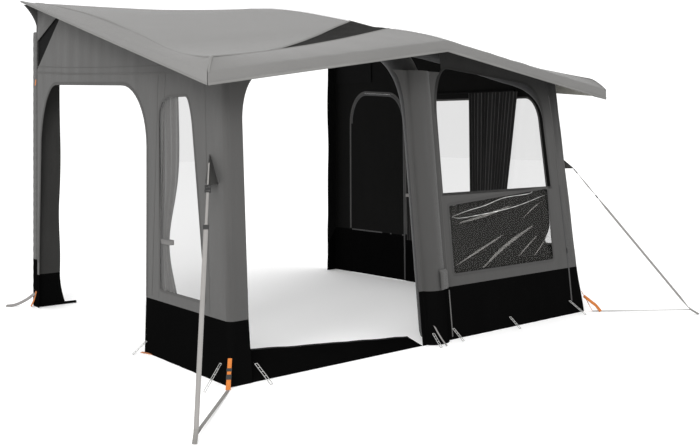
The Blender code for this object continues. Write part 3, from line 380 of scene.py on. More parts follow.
def door_lean(u, v):
    """A depth of the left doorway's edge, both sides leaning in towards the head."""
    rear, front, _ = DOOR_LEFT
    middle = (rear + front) / 2.0
    share = min(1.0, abs(u - middle) / (front - middle))
    if u < middle:
        return u + share * DOOR_LEAN[0] * max(0.0, v - DOOR_LEAN_START)
    return u - share * DOOR_LEAN[1] * max(0.0, v - MUD_HEIGHT)


def door_arch_left(grow=0.0):
    """The doorway's edge from its rear foot over the head to its front foot."""
    rear, front, head = DOOR_LEFT
    loop = arched(rear - grow, front + grow, MUD_HEIGHT, head + 0.02 + grow, head - 0.025 + grow,
                  (0.26 + grow, 0.44 + grow), (0.40 + grow, 0.42 + grow))
    return [(door_lean(u, v), v) for u, v in reversed(loop[2:])]


def door_arch_right(grow=0.0):
    rear, front, head = DOOR_RIGHT
    radii = (0.22 + grow, 0.30 + grow)
    loop = arched(rear - grow, front + grow, MUD_HEIGHT_RIGHT, head + grow, head - 0.02 + grow, radii, radii)
    return list(reversed(loop[2:]))


def veranda_loop(inset=0.0):
    inner, outer, head = VERANDA
    radius = VERANDA_RADIUS - inset
    loop = arched(inner + inset, outer - inset, SILL_HEIGHT + inset, head - inset, head - inset,
                  (0.16, 0.30), (radius, radius))
    raised = []
    for u, v in loop:
        share = max(0.0, (v - SILL_HEIGHT - 0.3) / (head - SILL_HEIGHT - 0.3))
        lean = VERANDA_LEAN * (v - SILL_HEIGHT) * max(0.0, (u - inner) / (outer - inner))
        raised.append((u - lean, v + VERANDA_SLOPE * (outer - u) * share))
    return raised


def pane_loop(inset=0.0):
    left, right, foot = PANE
    corner = (PANE_RADIUS, PANE_RADIUS)
    return arched(left + inset, right - inset, foot + inset, PANE_HEAD[0] - inset, PANE_HEAD[1] - inset, corner,
                  corner, PANE_RADIUS)


# Materials


def settings():
    return bpy.context.scene.awning


INPUTS = {"base": "Base Color", "normal": "Normal", "roughness": "Roughness", "specular": "Specular IOR Level",
          "sheen": "Sheen Weight", "alpha": "Alpha", "metallic": "Metallic", "glow": "Emission Color",
          "glow_strength": "Emission Strength"}
RANGE = ("From Min", "From Max", "To Min", "To Max")
TURN = 2.0 * math.pi


class Look:
    """A small builder for one procedural material."""

    def __init__(self, name):
        self.material = bpy.data.materials.new("awning_" + name)
        self.material.use_nodes = True
        self.tree = self.material.node_tree
        coordinates = self.node("ShaderNodeTexCoord", {})
        self.place, self.flat = coordinates["Object"], coordinates["UV"]

    def put(self, socket, value):
        """Join a socket to an output, or give it a plain value."""
        if isinstance(value, bpy.types.NodeSocket):
            self.tree.links.new(value, socket)
        else:
            socket.default_value = value

    def node(self, kind, inputs, **values):
        made = self.tree.nodes.new(kind)
        for key, value in values.items():
            setattr(made, key, value)
        for key, value in inputs.items():
            self.put(made.inputs[key], value)
        return made.outputs

    def math(self, operation, *values):
        return self.node("ShaderNodeMath", dict(enumerate(values)), operation=operation)[0]

    def times(self, first, second):
        return self.math("MULTIPLY", first, second)

    def wave(self, source, turns):
        return self.math("SINE", self.times(source, turns))

    def separate(self, source):
        return self.node("ShaderNodeSeparateXYZ", {0: source})

    def scaled(self, source, scale):
        return self.node("ShaderNodeVectorMath", {0: source, 1: scale}, operation="MULTIPLY")[0]

    def noise(self, source, scale, detail=4.0, roughness=0.55):
        inputs = {"Vector": source, "Scale": scale, "Detail": detail, "Roughness": roughness}
        return self.node("ShaderNodeTexNoise", inputs)["Fac"]

    def ranged(self, colour, factor, *limits):
        """The colour scaled by a factor that is taken from one range to another."""
        share = self.node("ShaderNodeMapRange", {"Value": factor, **dict(zip(RANGE, limits))})[0]
        return self.node("ShaderNodeVectorMath", {0: colour, "Scale": share}, operation="SCALE")[0]

    def tint(self, colour, factor, dark, light):
        """The colour made darker or lighter by a 0 to 1 factor."""
        return self.ranged(colour, factor, 0.25, 0.75, dark, light)

    def painted_canopy_shadow(self, colour, fade):
        """Painted shadow of the canopy: the colour taken down to a share of itself between two heights."""
        if not fade:
            return colour
        low, high, share = fade
        return self.ranged(colour, self.separate(self.place)[2], low, high, 1.0, share)

    def mix(self, factor, first, second):
        inputs = {0: factor}
        for key, value in ((6, first), (7, second)):
            inputs[key] = (*value, 1.0) if isinstance(value, tuple) else value
        return self.node("ShaderNodeMix", inputs, data_type="RGBA")[2]

    def bump(self, height, strength, distance, chained=None):
        inputs = {"Height": height, "Strength": strength, "Distance": distance}
        if chained:
            inputs["Normal"] = chained
        return self.node("ShaderNodeBump", inputs)[0]

    def from_middle(self, across):
        return self.math("ABSOLUTE", self.math("SUBTRACT", across, 0.5))

    def made(self, **inputs):
        """The material, its shader's inputs joined or set."""
        shader = self.tree.nodes["Principled BSDF"]
        for key, value in inputs.items():
            self.put(shader.inputs[INPUTS[key]], value)
        return self.material


def woven(look, colour, roughness=0.85, thread=0.0022, variation=0.10, crumple=0.25, sheen=0.15, specular=0.2,
          fade=None, weave_depth=0.35):
    """Coated woven cloth: a fine plain weave, broad colour drift, soft crumples, and where given a painted shadow of
    the canopy towards its top.
    """
    drift = look.noise(look.place, 1.7, 5.0)
    cloud = look.noise(look.scaled(look.place, (6.0, 6.0, 1.5)), 1.0, 4.0)
    both = look.math("MULTIPLY_ADD", drift, 0.6, look.times(cloud, 0.4))
    # The tinted colour, darkened towards the top by a painted shadow of the canopy where one is given
    tinted = look.painted_canopy_shadow(look.tint(colour, both, 1.0 - variation, 1.0 + variation), fade)
    across = look.separate(look.flat)
    weave = look.times(look.wave(across[0], TURN / thread), look.wave(across[1], TURN / thread))
    crumples = look.noise(look.scaled(look.place, (9.0, 9.0, 4.0)), 1.0, 6.0, 0.6)
    creased = look.bump(crumples, crumple, 0.012)
    return look.made(base=tinted, normal=look.bump(weave, weave_depth, thread * 0.2, creased),
                     roughness=look.math("MULTIPLY_ADD", cloud, 0.14, roughness - 0.07), sheen=sheen, specular=specular)


def stitched(look, colour, thread_colour, fade=None):
    """Tape sewn down along both edges: UV runs along it in metres and across it from 0 to 1."""
    along, across, _ = look.separate(look.flat)
    dash = look.math("GREATER_THAN", look.math("FRACT", look.math("DIVIDE", along, 0.0045)), 0.35)
    row = look.math("ABSOLUTE", look.math("SUBTRACT", look.from_middle(across), 0.34))
    stitch = look.times(dash, look.math("LESS_THAN", row, 0.045))
    cloth = look.tint(colour, look.noise(look.place, 3.0, 4.0), 0.88, 1.12)
    ribs = look.bump(look.wave(along, TURN / 0.0022), 0.25, 0.0003)
    # Where given, the tape's colour carries a painted shadow of the canopy towards its top
    return look.made(base=look.painted_canopy_shadow(look.mix(stitch, cloth, thread_colour), fade),
                     normal=look.bump(stitch, 0.6, 0.0008, ribs), roughness=0.8, specular=0.3)


def zipped(look, colour, teeth_colour):
    """Zip tape with its coil down the middle."""
    along, across, _ = look.separate(look.flat)
    coil = look.math("LESS_THAN", look.from_middle(across), 0.13)
    teeth = look.times(coil, look.math("MULTIPLY_ADD", look.wave(along, TURN / 0.0035), 0.5, 0.5))
    tape = look.tint(colour, look.noise(look.place, 3.0, 3.0), 0.9, 1.1)
    raised = look.math("ADD", look.times(coil, 0.6), look.times(teeth, 0.4))
    return look.made(base=look.mix(coil, tape, teeth_colour), normal=look.bump(raised, 0.8, 0.0015), roughness=0.6)


def webbing(look, colour):
    """Woven strap: ribs across it, a herringbone down its length, a soft edge shade."""
    along, across, _ = look.separate(look.flat)
    herring = look.times(look.wave(along, TURN / 0.0032), look.wave(across, TURN * 6.0))
    shade = look.math("MULTIPLY_ADD", look.from_middle(across), -0.5, look.math("MULTIPLY_ADD", herring, 0.12, 0.62))
    both = look.math("MULTIPLY_ADD", look.noise(look.place, 14.0, 5.0), 0.35, look.times(shade, 0.7))
    return look.made(base=look.tint(colour, both, 0.78, 1.15), normal=look.bump(herring, 0.5, 0.0006), roughness=0.75,
                     sheen=0.1)


def film(look, colour, alpha, roughness=0.12, waviness=0.35, specular=0.6):
    """Clear window film, faintly clouded, with the shallow waves of rolled plastic."""
    waves = look.noise(look.scaled(look.place, (3.0, 3.0, 1.2)), 1.0, 2.0, 0.4)
    return look.made(base=look.tint(colour, look.noise(look.place, 9.0, 5.0), 0.85, 1.15),
                     normal=look.bump(waves, waviness, 0.03), roughness=roughness, alpha=alpha, specular=specular)


def moulded(look, colour, roughness, grain=900.0, specular=0.5):
    """Moulded plastic or rubber with a fine grain and slight wear."""
    wear = look.noise(look.place, 35.0, 5.0)
    return look.made(base=look.tint(colour, wear, 0.8, 1.3),
                     normal=look.bump(look.noise(look.place, grain, 3.0), 0.25, 0.0004),
                     roughness=look.math("MULTIPLY_ADD", wear, 0.2, roughness - 0.1), specular=specular)


def net(look, colour):
    """Fine insect mesh."""
    across = look.separate(look.flat)
    bars = [look.math("ABSOLUTE", look.wave(across[axis], TURN / 0.0035)) for axis in (0, 1)]
    thread = look.math("MAXIMUM", *bars)
    return look.made(base=look.tint(colour, look.noise(look.place, 4.0, 4.0), 0.85, 1.15),
                     normal=look.bump(thread, 0.5, 0.0008), roughness=0.85, specular=0.1)


def chosen(name, share=1.0):
    """A colour of the settings, read when the material is made."""
    return lambda: tuple(share * part for part in getattr(settings(), name))


WALL = chosen("wall_colour")
# Painted shade: the walls' colour taken to 0.80 for cloth that faces the front, away from the light
FRONT = chosen("wall_colour", 0.80)
MATT = dict(sheen=0.0, specular=0.05)

# Each kind of surface: its slot, how it is made, its material's name, its colour and what differs from the usual
FINISHES = {
    "roof": ("roof_cloth", woven, "roof_cloth", chosen("roof_colour"),
             dict(roughness=0.80, variation=0.05, crumple=0.12)),
    # Near-black underside of the roof: the shade inside the awning painted into its colour
    "roof_inner": ("roof_cloth", woven, "roof_lining", (0.022, 0.0215, 0.020), {}),
    "overhang": ("roof_cloth", woven, "overhang_lining", (0.100, 0.096, 0.068), dict(variation=0.08)),
    "soffit": ("roof_cloth", woven, "soffit_cloth", (0.40, 0.39, 0.35), dict(variation=0.06)),
    "wall": ("wall_cloth", woven, "wall_cloth", WALL, dict(roughness=0.84, variation=0.07)),
    # Front-facing copies of the wall cloth with painted shade; the front panel's and the right leg's also carry a
    # painted shadow of the canopy towards the top
    "wall_front": ("wall_cloth", woven, "wall_cloth_front", FRONT,
                   dict(roughness=0.84, variation=0.07, fade=(1.42, 1.80, 0.28))),
    "wall_leg": ("wall_cloth", woven, "wall_cloth_leg", FRONT,
                 dict(roughness=0.84, variation=0.07, fade=(1.20, 1.80, 0.18))),
    "wall_middle": ("wall_cloth", woven, "wall_cloth_middle", FRONT, dict(roughness=0.84, variation=0.07)),
    # Storm patch cloth painted darker than the leg: painted shade inside its pocket
    "patch": ("wall_cloth", woven, "patch_cloth", (0.030, 0.0295, 0.028), dict(sheen=0.05, specular=0.1)),
    # Near-black inner side of the walls and legs: the shade inside the awning painted into its colour
    "inner": ("dark_cloth", woven, "inner_cloth", chosen("lining_colour"), dict(variation=0.12, **MATT)),
    # Near-black cloth that stands in for shade: the sheet under the gusset flap and the right rear panel
    "dark": ("dark_cloth", woven, "dark_cloth", (0.006, 0.006, 0.006), dict(variation=0.15, **MATT)),
    "rear_cloth": ("dark_cloth", woven, "rear_cloth", (0.030, 0.0295, 0.0285), dict(variation=0.12, **MATT)),
    "mud": ("mud_cloth", woven, "mud_cloth", (0.0025, 0.0025, 0.0025),
            dict(roughness=0.70, thread=0.0030, variation=0.15, crumple=0.35, sheen=0.0, specular=0.0)),
    # Dark copy of the curtain cloth: painted shade for the folded curtain behind the front pane
    "pleats": ("curtain_cloth", woven, "pleated_cloth", (0.026, 0.0255, 0.024),
               dict(roughness=0.9, thread=0.0016, variation=0.14, weave_depth=0.04, crumple=0.1, **MATT)),
    "curtain": ("curtain_cloth", woven, "curtain_cloth", (0.125, 0.122, 0.118),
                dict(roughness=0.9, thread=0.0016, sheen=0.3)),
    # Near-black copy of the curtain cloth: painted shade for the curtains deep inside and the left curtain's room side
    "curtain_shaded": ("curtain_cloth", woven, "curtain_back", (0.011, 0.0107, 0.0104),
                     dict(roughness=0.9, thread=0.0016, variation=0.12, sheen=0.2)),
    "beam": ("beam_cloth", woven, "beam_cloth", (0.030, 0.030, 0.031), dict(roughness=0.72, thread=0.0030)),
    "net": ("mesh_cloth", net, "vent_mesh", (0.006, 0.0058, 0.0052), {}),
    "seam_wall": ("wall_cloth", stitched, "seam_wall", (0.070, 0.069, 0.067),
                  dict(thread_colour=(0.040, 0.039, 0.038))),
    "seam_roof": ("roof_cloth", stitched, "seam_roof", (0.155, 0.153, 0.148),
                  dict(thread_colour=(0.10, 0.099, 0.095))),
    "seam_mud": ("mud_cloth", stitched, "seam_mud", (0.0065, 0.0065, 0.0065),
                 dict(thread_colour=(0.020, 0.020, 0.020))),
    "binding": ("wall_cloth", stitched, "binding", (0.058, 0.057, 0.0555), dict(thread_colour=(0.044, 0.043, 0.042))),
    # Binding of the front panel, darker towards its top with a painted shadow of the canopy
    "binding_front": ("wall_cloth", stitched, "binding_front", (0.046, 0.045, 0.044),
                      dict(thread_colour=(0.036, 0.035, 0.034), fade=(1.35, 1.78, 0.30))),
    "zip": ("webbing", zipped, "zip_tape", (0.030, 0.030, 0.030), dict(teeth_colour=(0.012, 0.012, 0.012))),
    "zip_grey": ("webbing", zipped, "zip_tape_grey", (0.11, 0.108, 0.105), dict(teeth_colour=(0.02, 0.02, 0.02))),
    "webbing": ("webbing", webbing, "webbing", (0.20, 0.192, 0.185), {}),
    "ground_webbing": ("webbing", webbing, "ground_webbing", (0.17, 0.165, 0.155), {}),
    "black_webbing": ("webbing", webbing, "black_webbing", (0.012, 0.012, 0.012), {}),
    "orange": ("orange_webbing", webbing, "orange_webbing", chosen("peg_strap_colour"), {}),
    "film": ("film", film, "window_film", (0.05, 0.05, 0.049), dict(alpha=0.40)),
    # Near-white, nearly opaque strips: painted highlights along the folded film's creases
    "film_edge": ("film", film, "film_crease", (0.80, 0.80, 0.78), dict(alpha=0.95, roughness=0.3)),
    # Pale, partly clear streaks: painted reflection on the folded film
    "film_reflection": ("film", film, "film_haze", (0.34, 0.33, 0.31), dict(alpha=0.30, roughness=0.4)),
    "pane_film": ("film", film, "pane_film", (0.03, 0.03, 0.029),
                  dict(alpha=0.16, roughness=0.6, waviness=0.12, specular=0.0)),
    "flap_film": ("film", film, "flap_film", (0.05, 0.05, 0.048),
                  dict(alpha=0.12, roughness=0.6, waviness=0.15, specular=0.0)),
    "plastic": ("black_plastic", moulded, "black_plastic", (0.010, 0.010, 0.010), dict(roughness=0.42)),
    "track": ("black_plastic", moulded, "track_plastic", (0.007, 0.007, 0.007), dict(roughness=0.9, specular=0.05)),
    "rubber": ("ladder_rubber", moulded, "ladder_rubber", (0.34, 0.34, 0.33), dict(roughness=0.55, grain=500.0)),
}


def finish(kind):
    """The material of one kind of surface."""
    _, maker, name, colour, options = FINISHES[kind]
    known = bpy.data.materials.get("awning_" + name)
    return known or maker(Look(name), colour() if callable(colour) else colour, **options)


# Making pieces


SIDES = ((-1, "left"), (1, "right"))
FORWARD = Vector((0.0, -1.0, 0.0))
UP = Vector((0.0, 0.0, 1.0))


def aside(sign):
    return Vector((sign, 0.0, 0.0))


def placed(name, data, location=(0.0, 0.0, 0.0)):
    made = bpy.data.objects.new(name, data)
    made.location = location
    bpy.context.scene.collection.objects.link(made)
    return made


def as_mesh(name, work):
    mesh = bpy.data.meshes.new(name)
    work.to_mesh(mesh)
    work.free()
    return mesh


def piece(name, work, finishes, body="awning", replaces=(), facing=None, thickness=0.0):
    """Put the mesh in the scene, its faces turned to where it faces, with its materials, thickness and body."""
    work.normal_update()
    if facing and sum(face.normal.dot(facing) * face.calc_area() for face in work.faces) < 0.0:
        bmesh.ops.reverse_faces(work, faces=work.faces[:])
    for face in work.faces:
        face.smooth = True
    for edge in work.edges:
        if edge.is_boundary:
            edge.smooth = False
    made = placed(name, as_mesh(name, work))
    for kind in finishes:
        made.data.materials.append(finish(kind))
    if thickness:
        shell = made.modifiers.new("cloth thickness", "SOLIDIFY")
        shell.thickness = thickness
        shell.offset = 0.0
        shell.use_even_offset = False
        shell.use_quality_normals = True
        if len(finishes) > 1:
            shell.material_offset = 1
    if replaces:
        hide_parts(*replaces)
    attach(made, body)
    return made


def cloth(name, work, finishes, replaces, facing, flat, held, rests_on, body="awning", thickness=None):
    """A cloth piece given the cloth's thickness; the width and length of its cut, and how it is held, are not used."""
    thickness = settings().cloth if thickness is None else thickness
    made = piece(name, work, finishes, body, replaces, facing, thickness)
    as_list(rests_on)


def grid(columns, rows, place):
    """A gridded sheet, each corner put by place(i, j), with UVs in metres along its middle lines."""
    work = bmesh.new()
    bmesh.ops.create_grid(work, x_segments=columns, y_segments=rows, size=1.0)
    keys = {}
    for corner in work.verts:
        i = round((corner.co.x + 1.0) / 2.0 * columns)
        j = round((corner.co.y + 1.0) / 2.0 * rows)
        keys[corner] = (i, j)
        corner.co = Vector(place(i, j))
    at = {key: corner.co for corner, key in keys.items()}
    lengths = [[0.0], [0.0]]
    for i in range(columns):
        step = (at[(i + 1, rows // 2)] - at[(i, rows // 2)]).length
        lengths[0].append(lengths[0][-1] + step)
    for j in range(rows):
        step = (at[(columns // 2, j + 1)] - at[(columns // 2, j)]).length
        lengths[1].append(lengths[1][-1] + step)
    layer = work.loops.layers.uv.new("UVMap")
    for face in work.faces:
        for loop in face.loops:
            i, j = keys[loop.vert]
            loop[layer].uv = (lengths[0][i], lengths[1][j])
    return work


def cut_sheet(name, loops, place, cell=PANEL_CELL):
    """Cloth cut to an outline with holes, gridded so that it can wrinkle, hung by place(u, v)."""
    outline = bpy.data.curves.new(name + "_outline", "CURVE")
    outline.dimensions = "2D"
    outline.fill_mode = "FRONT"
    for loop in loops:
        spline = outline.splines.new("POLY")
        spline.points.add(len(loop) - 1)
        for point, (u, v) in zip(spline.points, loop):
            point.co = (u, v, 0.0, 1.0)
        spline.use_cyclic_u = True
    guide = placed(name + "_outline", outline)
    bpy.context.view_layer.update()
    seen = guide.evaluated_get(bpy.context.evaluated_depsgraph_get())
    mesh = bpy.data.meshes.new_from_object(seen)
    bpy.data.objects.remove(guide, do_unlink=True)
    work = bmesh.new()
    work.from_mesh(mesh)
    bpy.data.meshes.remove(mesh)
    bmesh.ops.remove_doubles(work, verts=work.verts, dist=1e-5)
    lows = [min(p[k] for p in loops[0]) for k in (0, 1)]
    highs = [max(p[k] for p in loops[0]) for k in (0, 1)]
    for k in (0, 1):
        count = int((highs[k] - lows[k]) / cell)
        for n in range(1, count + 1):
            level = lows[k] + (highs[k] - lows[k]) * n / (count + 1)
            spot = (level, 0, 0) if k == 0 else (0, level, 0)
            normal = (1, 0, 0) if k == 0 else (0, 1, 0)
            everything = work.verts[:] + work.edges[:] + work.faces[:]
            bmesh.ops.bisect_plane(work, geom=everything, dist=1e-6, plane_co=spot, plane_no=normal)
    slanted = []
    for edge in work.edges:
        step = edge.verts[1].co - edge.verts[0].co
        if not edge.is_boundary and abs(step.x) > 1e-5 and abs(step.y) > 1e-5:
            slanted.append(edge)
    bmesh.ops.dissolve_edges(work, edges=slanted, use_verts=False)
    layer = work.loops.layers.uv.new("UVMap")
    for face in work.faces:
        for loop in face.loops:
            loop[layer].uv = loop.vert.co.xy
    for corner in work.verts:
        corner.co = Vector(place(corner.co.x, corner.co.y))
    return work


def resampled(points, step):
    """Points at an even spacing on a polyline."""
    points = [Vector(p) for p in points]
    lengths = [0.0]
    for near, far in zip(points, points[1:]):
        lengths.append(lengths[-1] + (far - near).length)
    count = max(1, round(lengths[-1] / step))
    made, k = [], 0
    for n in range(count + 1):
        wanted = lengths[-1] * n / count
        while k < len(points) - 2 and lengths[k + 1] < wanted:
            k += 1
        span = lengths[k + 1] - lengths[k]
        share = 0.0 if span < 1e-9 else (wanted - lengths[k]) / span
        made.append(points[k].lerp(points[k + 1], min(1.0, max(0.0, share))))
    return made


def rounded(points):
    """A polyline with its corners cut twice, ends kept."""
    points = [Vector(p) for p in points]
    for _ in range(2):
        made = [points[0]]
        for near, far in zip(points, points[1:]):
            made += [near.lerp(far, 0.25), near.lerp(far, 0.75)]
        made.append(points[-1])
        points = made
    return points


# Shares of a band's width, as it runs up one edge, over the face and down the other edge
BAND_SHARES = (0.0, 0.02, 0.25, 0.5, 0.75, 0.98, 1.0, 1.0)


class Strips:
    """Several flat bands and round cords gathered in one mesh."""

    def __init__(self):
        self.work = bmesh.new()
        self.layer = self.work.loops.layers.uv.new("UVMap")

    def tube(self, rings, material=0, across=None):
        """Join closed rings of points, one for each station along the band, and close the two ends."""
        made = [[self.work.verts.new(p) for p in ring] for ring in rings]
        length = 0.0
        count = len(rings[0])
        shares = across or [i / count for i in range(count + 1)]
        for k in range(len(made) - 1):
            ahead = length + (rings[k + 1][0] - rings[k][0]).length
            for m in range(count):
                n = (m + 1) % count
                face = self.work.faces.new((made[k][m], made[k][n], made[k + 1][n], made[k + 1][m]))
                face.material_index = material
                near, far = shares[m], shares[m + 1]
                for loop, value in zip(face.loops, ((length, near), (length, far), (ahead, far), (ahead, near))):
                    loop[self.layer].uv = value
            length = ahead
        for ring in (list(reversed(made[0])), made[-1]):
            self.work.faces.new(ring).material_index = material

    def band(self, points, outs, width, thick=0.0015, crown=0.0, material=0, lift=0.0, widths=None):
        """A flat band on a line of points, with the direction that it faces at each."""
        points = [Vector(p) for p in points]
        rings = []
        for k, point in enumerate(points):
            along = (points[min(k + 1, len(points) - 1)] - points[max(k - 1, 0)]).normalized()
            out = Vector(outs[k] if isinstance(outs, list) else outs).normalized()
            side = out.cross(along).normalized()
            out = along.cross(side).normalized()
            half = (widths[k] if widths else width) / 2.0
            base = point + out * lift
            rises = ((-1.0, 0.0), (-1.0, thick), (-0.5, thick + crown * 0.75), (0.0, thick + crown),
                     (0.5, thick + crown * 0.75), (1.0, thick), (1.0, 0.0))
            rings.append([base + side * half * across + out * rise for across, rise in rises])
        self.tube(rings, material, BAND_SHARES)
        return self

    def tape(self, place, path, out, width, thick=0.0009):
        """A flat band along a path of a panel's own flat coordinates."""
        flat = resampled([(u, v, 0.0) for u, v in path], 0.02)
        return self.band([place(p.x, p.y) for p in flat], out, width, thick)

    def cord(self, points, radius, sides=10, material=0, radii=None):
        """A round cord along a line of points."""
        points = [Vector(p) for p in points]
        side = None
        rings = []
        for k, point in enumerate(points):
            along = (points[min(k + 1, len(points) - 1)] - points[max(k - 1, 0)]).normalized()
            if side is None:
                side = along.orthogonal().normalized()
            side = (side - along * side.dot(along)).normalized()
            up = along.cross(side)
            reach = radii[k] if radii else radius
            ring = []
            for m in range(sides):
                angle = TURN * m / sides
                ring.append(point + (side * math.cos(angle) + up * math.sin(angle)) * reach)
            rings.append(ring)
        self.tube(rings, material)
        return self

    def finish(self, name, finishes, body="awning", replaces=()):
        bmesh.ops.recalc_face_normals(self.work, faces=self.work.faces[:])
        for edge in self.work.edges:
            if len(edge.link_faces) == 2 and edge.calc_face_angle(0.0) > 0.9:
                edge.smooth = False
        return piece(name, self.work, finishes, body, replaces)


# Wrinkles


def ripple(u, v, size, stretch, seed):
    """Soft folds, long along v when stretch is over 1."""
    return noise.noise(Vector((u / size, v / (size * stretch), seed)))


def distance_to(u, v, loops):
    """Distance from a point of a cut sheet to the nearest of its edges."""
    best = 1e9
    for loop in loops:
        for (a, b), (c, d) in zip(loop, loop[1:] + loop[:1]):
            du, dv = c - a, d - b
            length = du * du + dv * dv
            share = 0.0 if length < 1e-12 else max(0.0, min(1.0, ((u - a) * du + (v - b) * dv) / length))
            gap = (u - a - du * share) ** 2 + (v - b - dv * share) ** 2
            if gap < best:
                best = gap
    return math.sqrt(best)


def side_wall_place(sign, loops, seed):
    """Where a point of a side wall hangs, with vertical folds that die out at its seams."""
    def place(u, v):
        pinned = min(1.0, distance_to(u, v, loops) / 0.10)
        folds = settings().fold * ripple(u, v, 0.11, 6.0, seed) + 0.004 * ripple(u, v, 0.5, 1.5, seed + 7)
        half = side_half(u, v) + pinned * folds
        return world(sign * half, u, v)
    return place


def on_side(sign, out=0.0):
    return lambda u, v: world(sign * (side_half(u, v) + out), u, v)


def on_front(out=0.0):
    return lambda u, v: world(u, front_depth(v) + out, v)


def shifted(place, offset):
    return lambda u, v: place(u, v) + offset


# Roof


def roof_point(x, depth):
    """A point of the main roof with the cloth's soft slack between the beams."""
    share = min(1.0, abs(x) / crease_half(depth))
    held = min(1.0, depth / 0.25) * min(1.0, 12.0 * share * (1.0 - share) + 0.1)
    slack = settings().slack
    fold = slack * ripple(depth, x, 0.34, 3.0, 3.0) + 0.4 * slack * ripple(depth, x, 0.12, 5.0, 7.0)
    return world(x, depth, roof_height(x, depth) + held * fold)


def crease_point(sign, depth):
    half = crease_half(depth)
    return world(sign * half, depth, roof_height(half, depth))


def eave_points(sign, share):
    """The side band's run from the crease over its rounded lip to its lower edge."""
    crease = (CREASE_DEPTH - CLOTH) * share
    upper = crease_point(sign, crease)
    depth = (EAVE_DEPTH - 2.5 * CLOTH) * share
    low = world(sign * eave_half(depth), depth, eave_height(depth))
    lip = low + Vector((0.0, 0.0, 0.012 + (FASCIA_DROP - 0.020) * share))
    return upper, lip, low


def canopy_rows(across):
    """Seam, lip and lower edge of the front canopy at a station from -1 to 1."""
    share = abs(across)
    x_seam = across * CREASE_HALF_FRONT
    depth_seam = seam_depth(x_seam)
    upper = world(x_seam, depth_seam, roof_height(x_seam, depth_seam))
    x = across * EAVE_HALF_FRONT
    depth = between(PEAK_DEPTH, EAVE_DEPTH, share)
    low = world(x, depth, between(PEAK_HEIGHT, EAVE_CORNER_HEIGHT, share))
    return upper, low + Vector((0.0, 0.0, FASCIA_DROP)), low


LIP_START = 0.96
LIP_END = 0.12


def rounded_run(upper, lip, low, rows_upper, rows_low, belly):
    """Points from the upper edge over a softly turned lip to the lower edge."""
    points = []
    for j in range(rows_upper + 1):
        t = LIP_START * j / rows_upper
        points.append(upper.lerp(lip, t) + Vector((0.0, 0.0, belly * 4.0 * t * (1.0 - t))))
    start, end = upper.lerp(lip, LIP_START), lip.lerp(low, LIP_END)
    for j in range(1, 4):
        t = j / 4.0
        points.append(start.lerp(lip, t).lerp(lip.lerp(end, t), t))
    for j in range(rows_low + 1):
        points.append(end.lerp(low, j / rows_low))
    return points


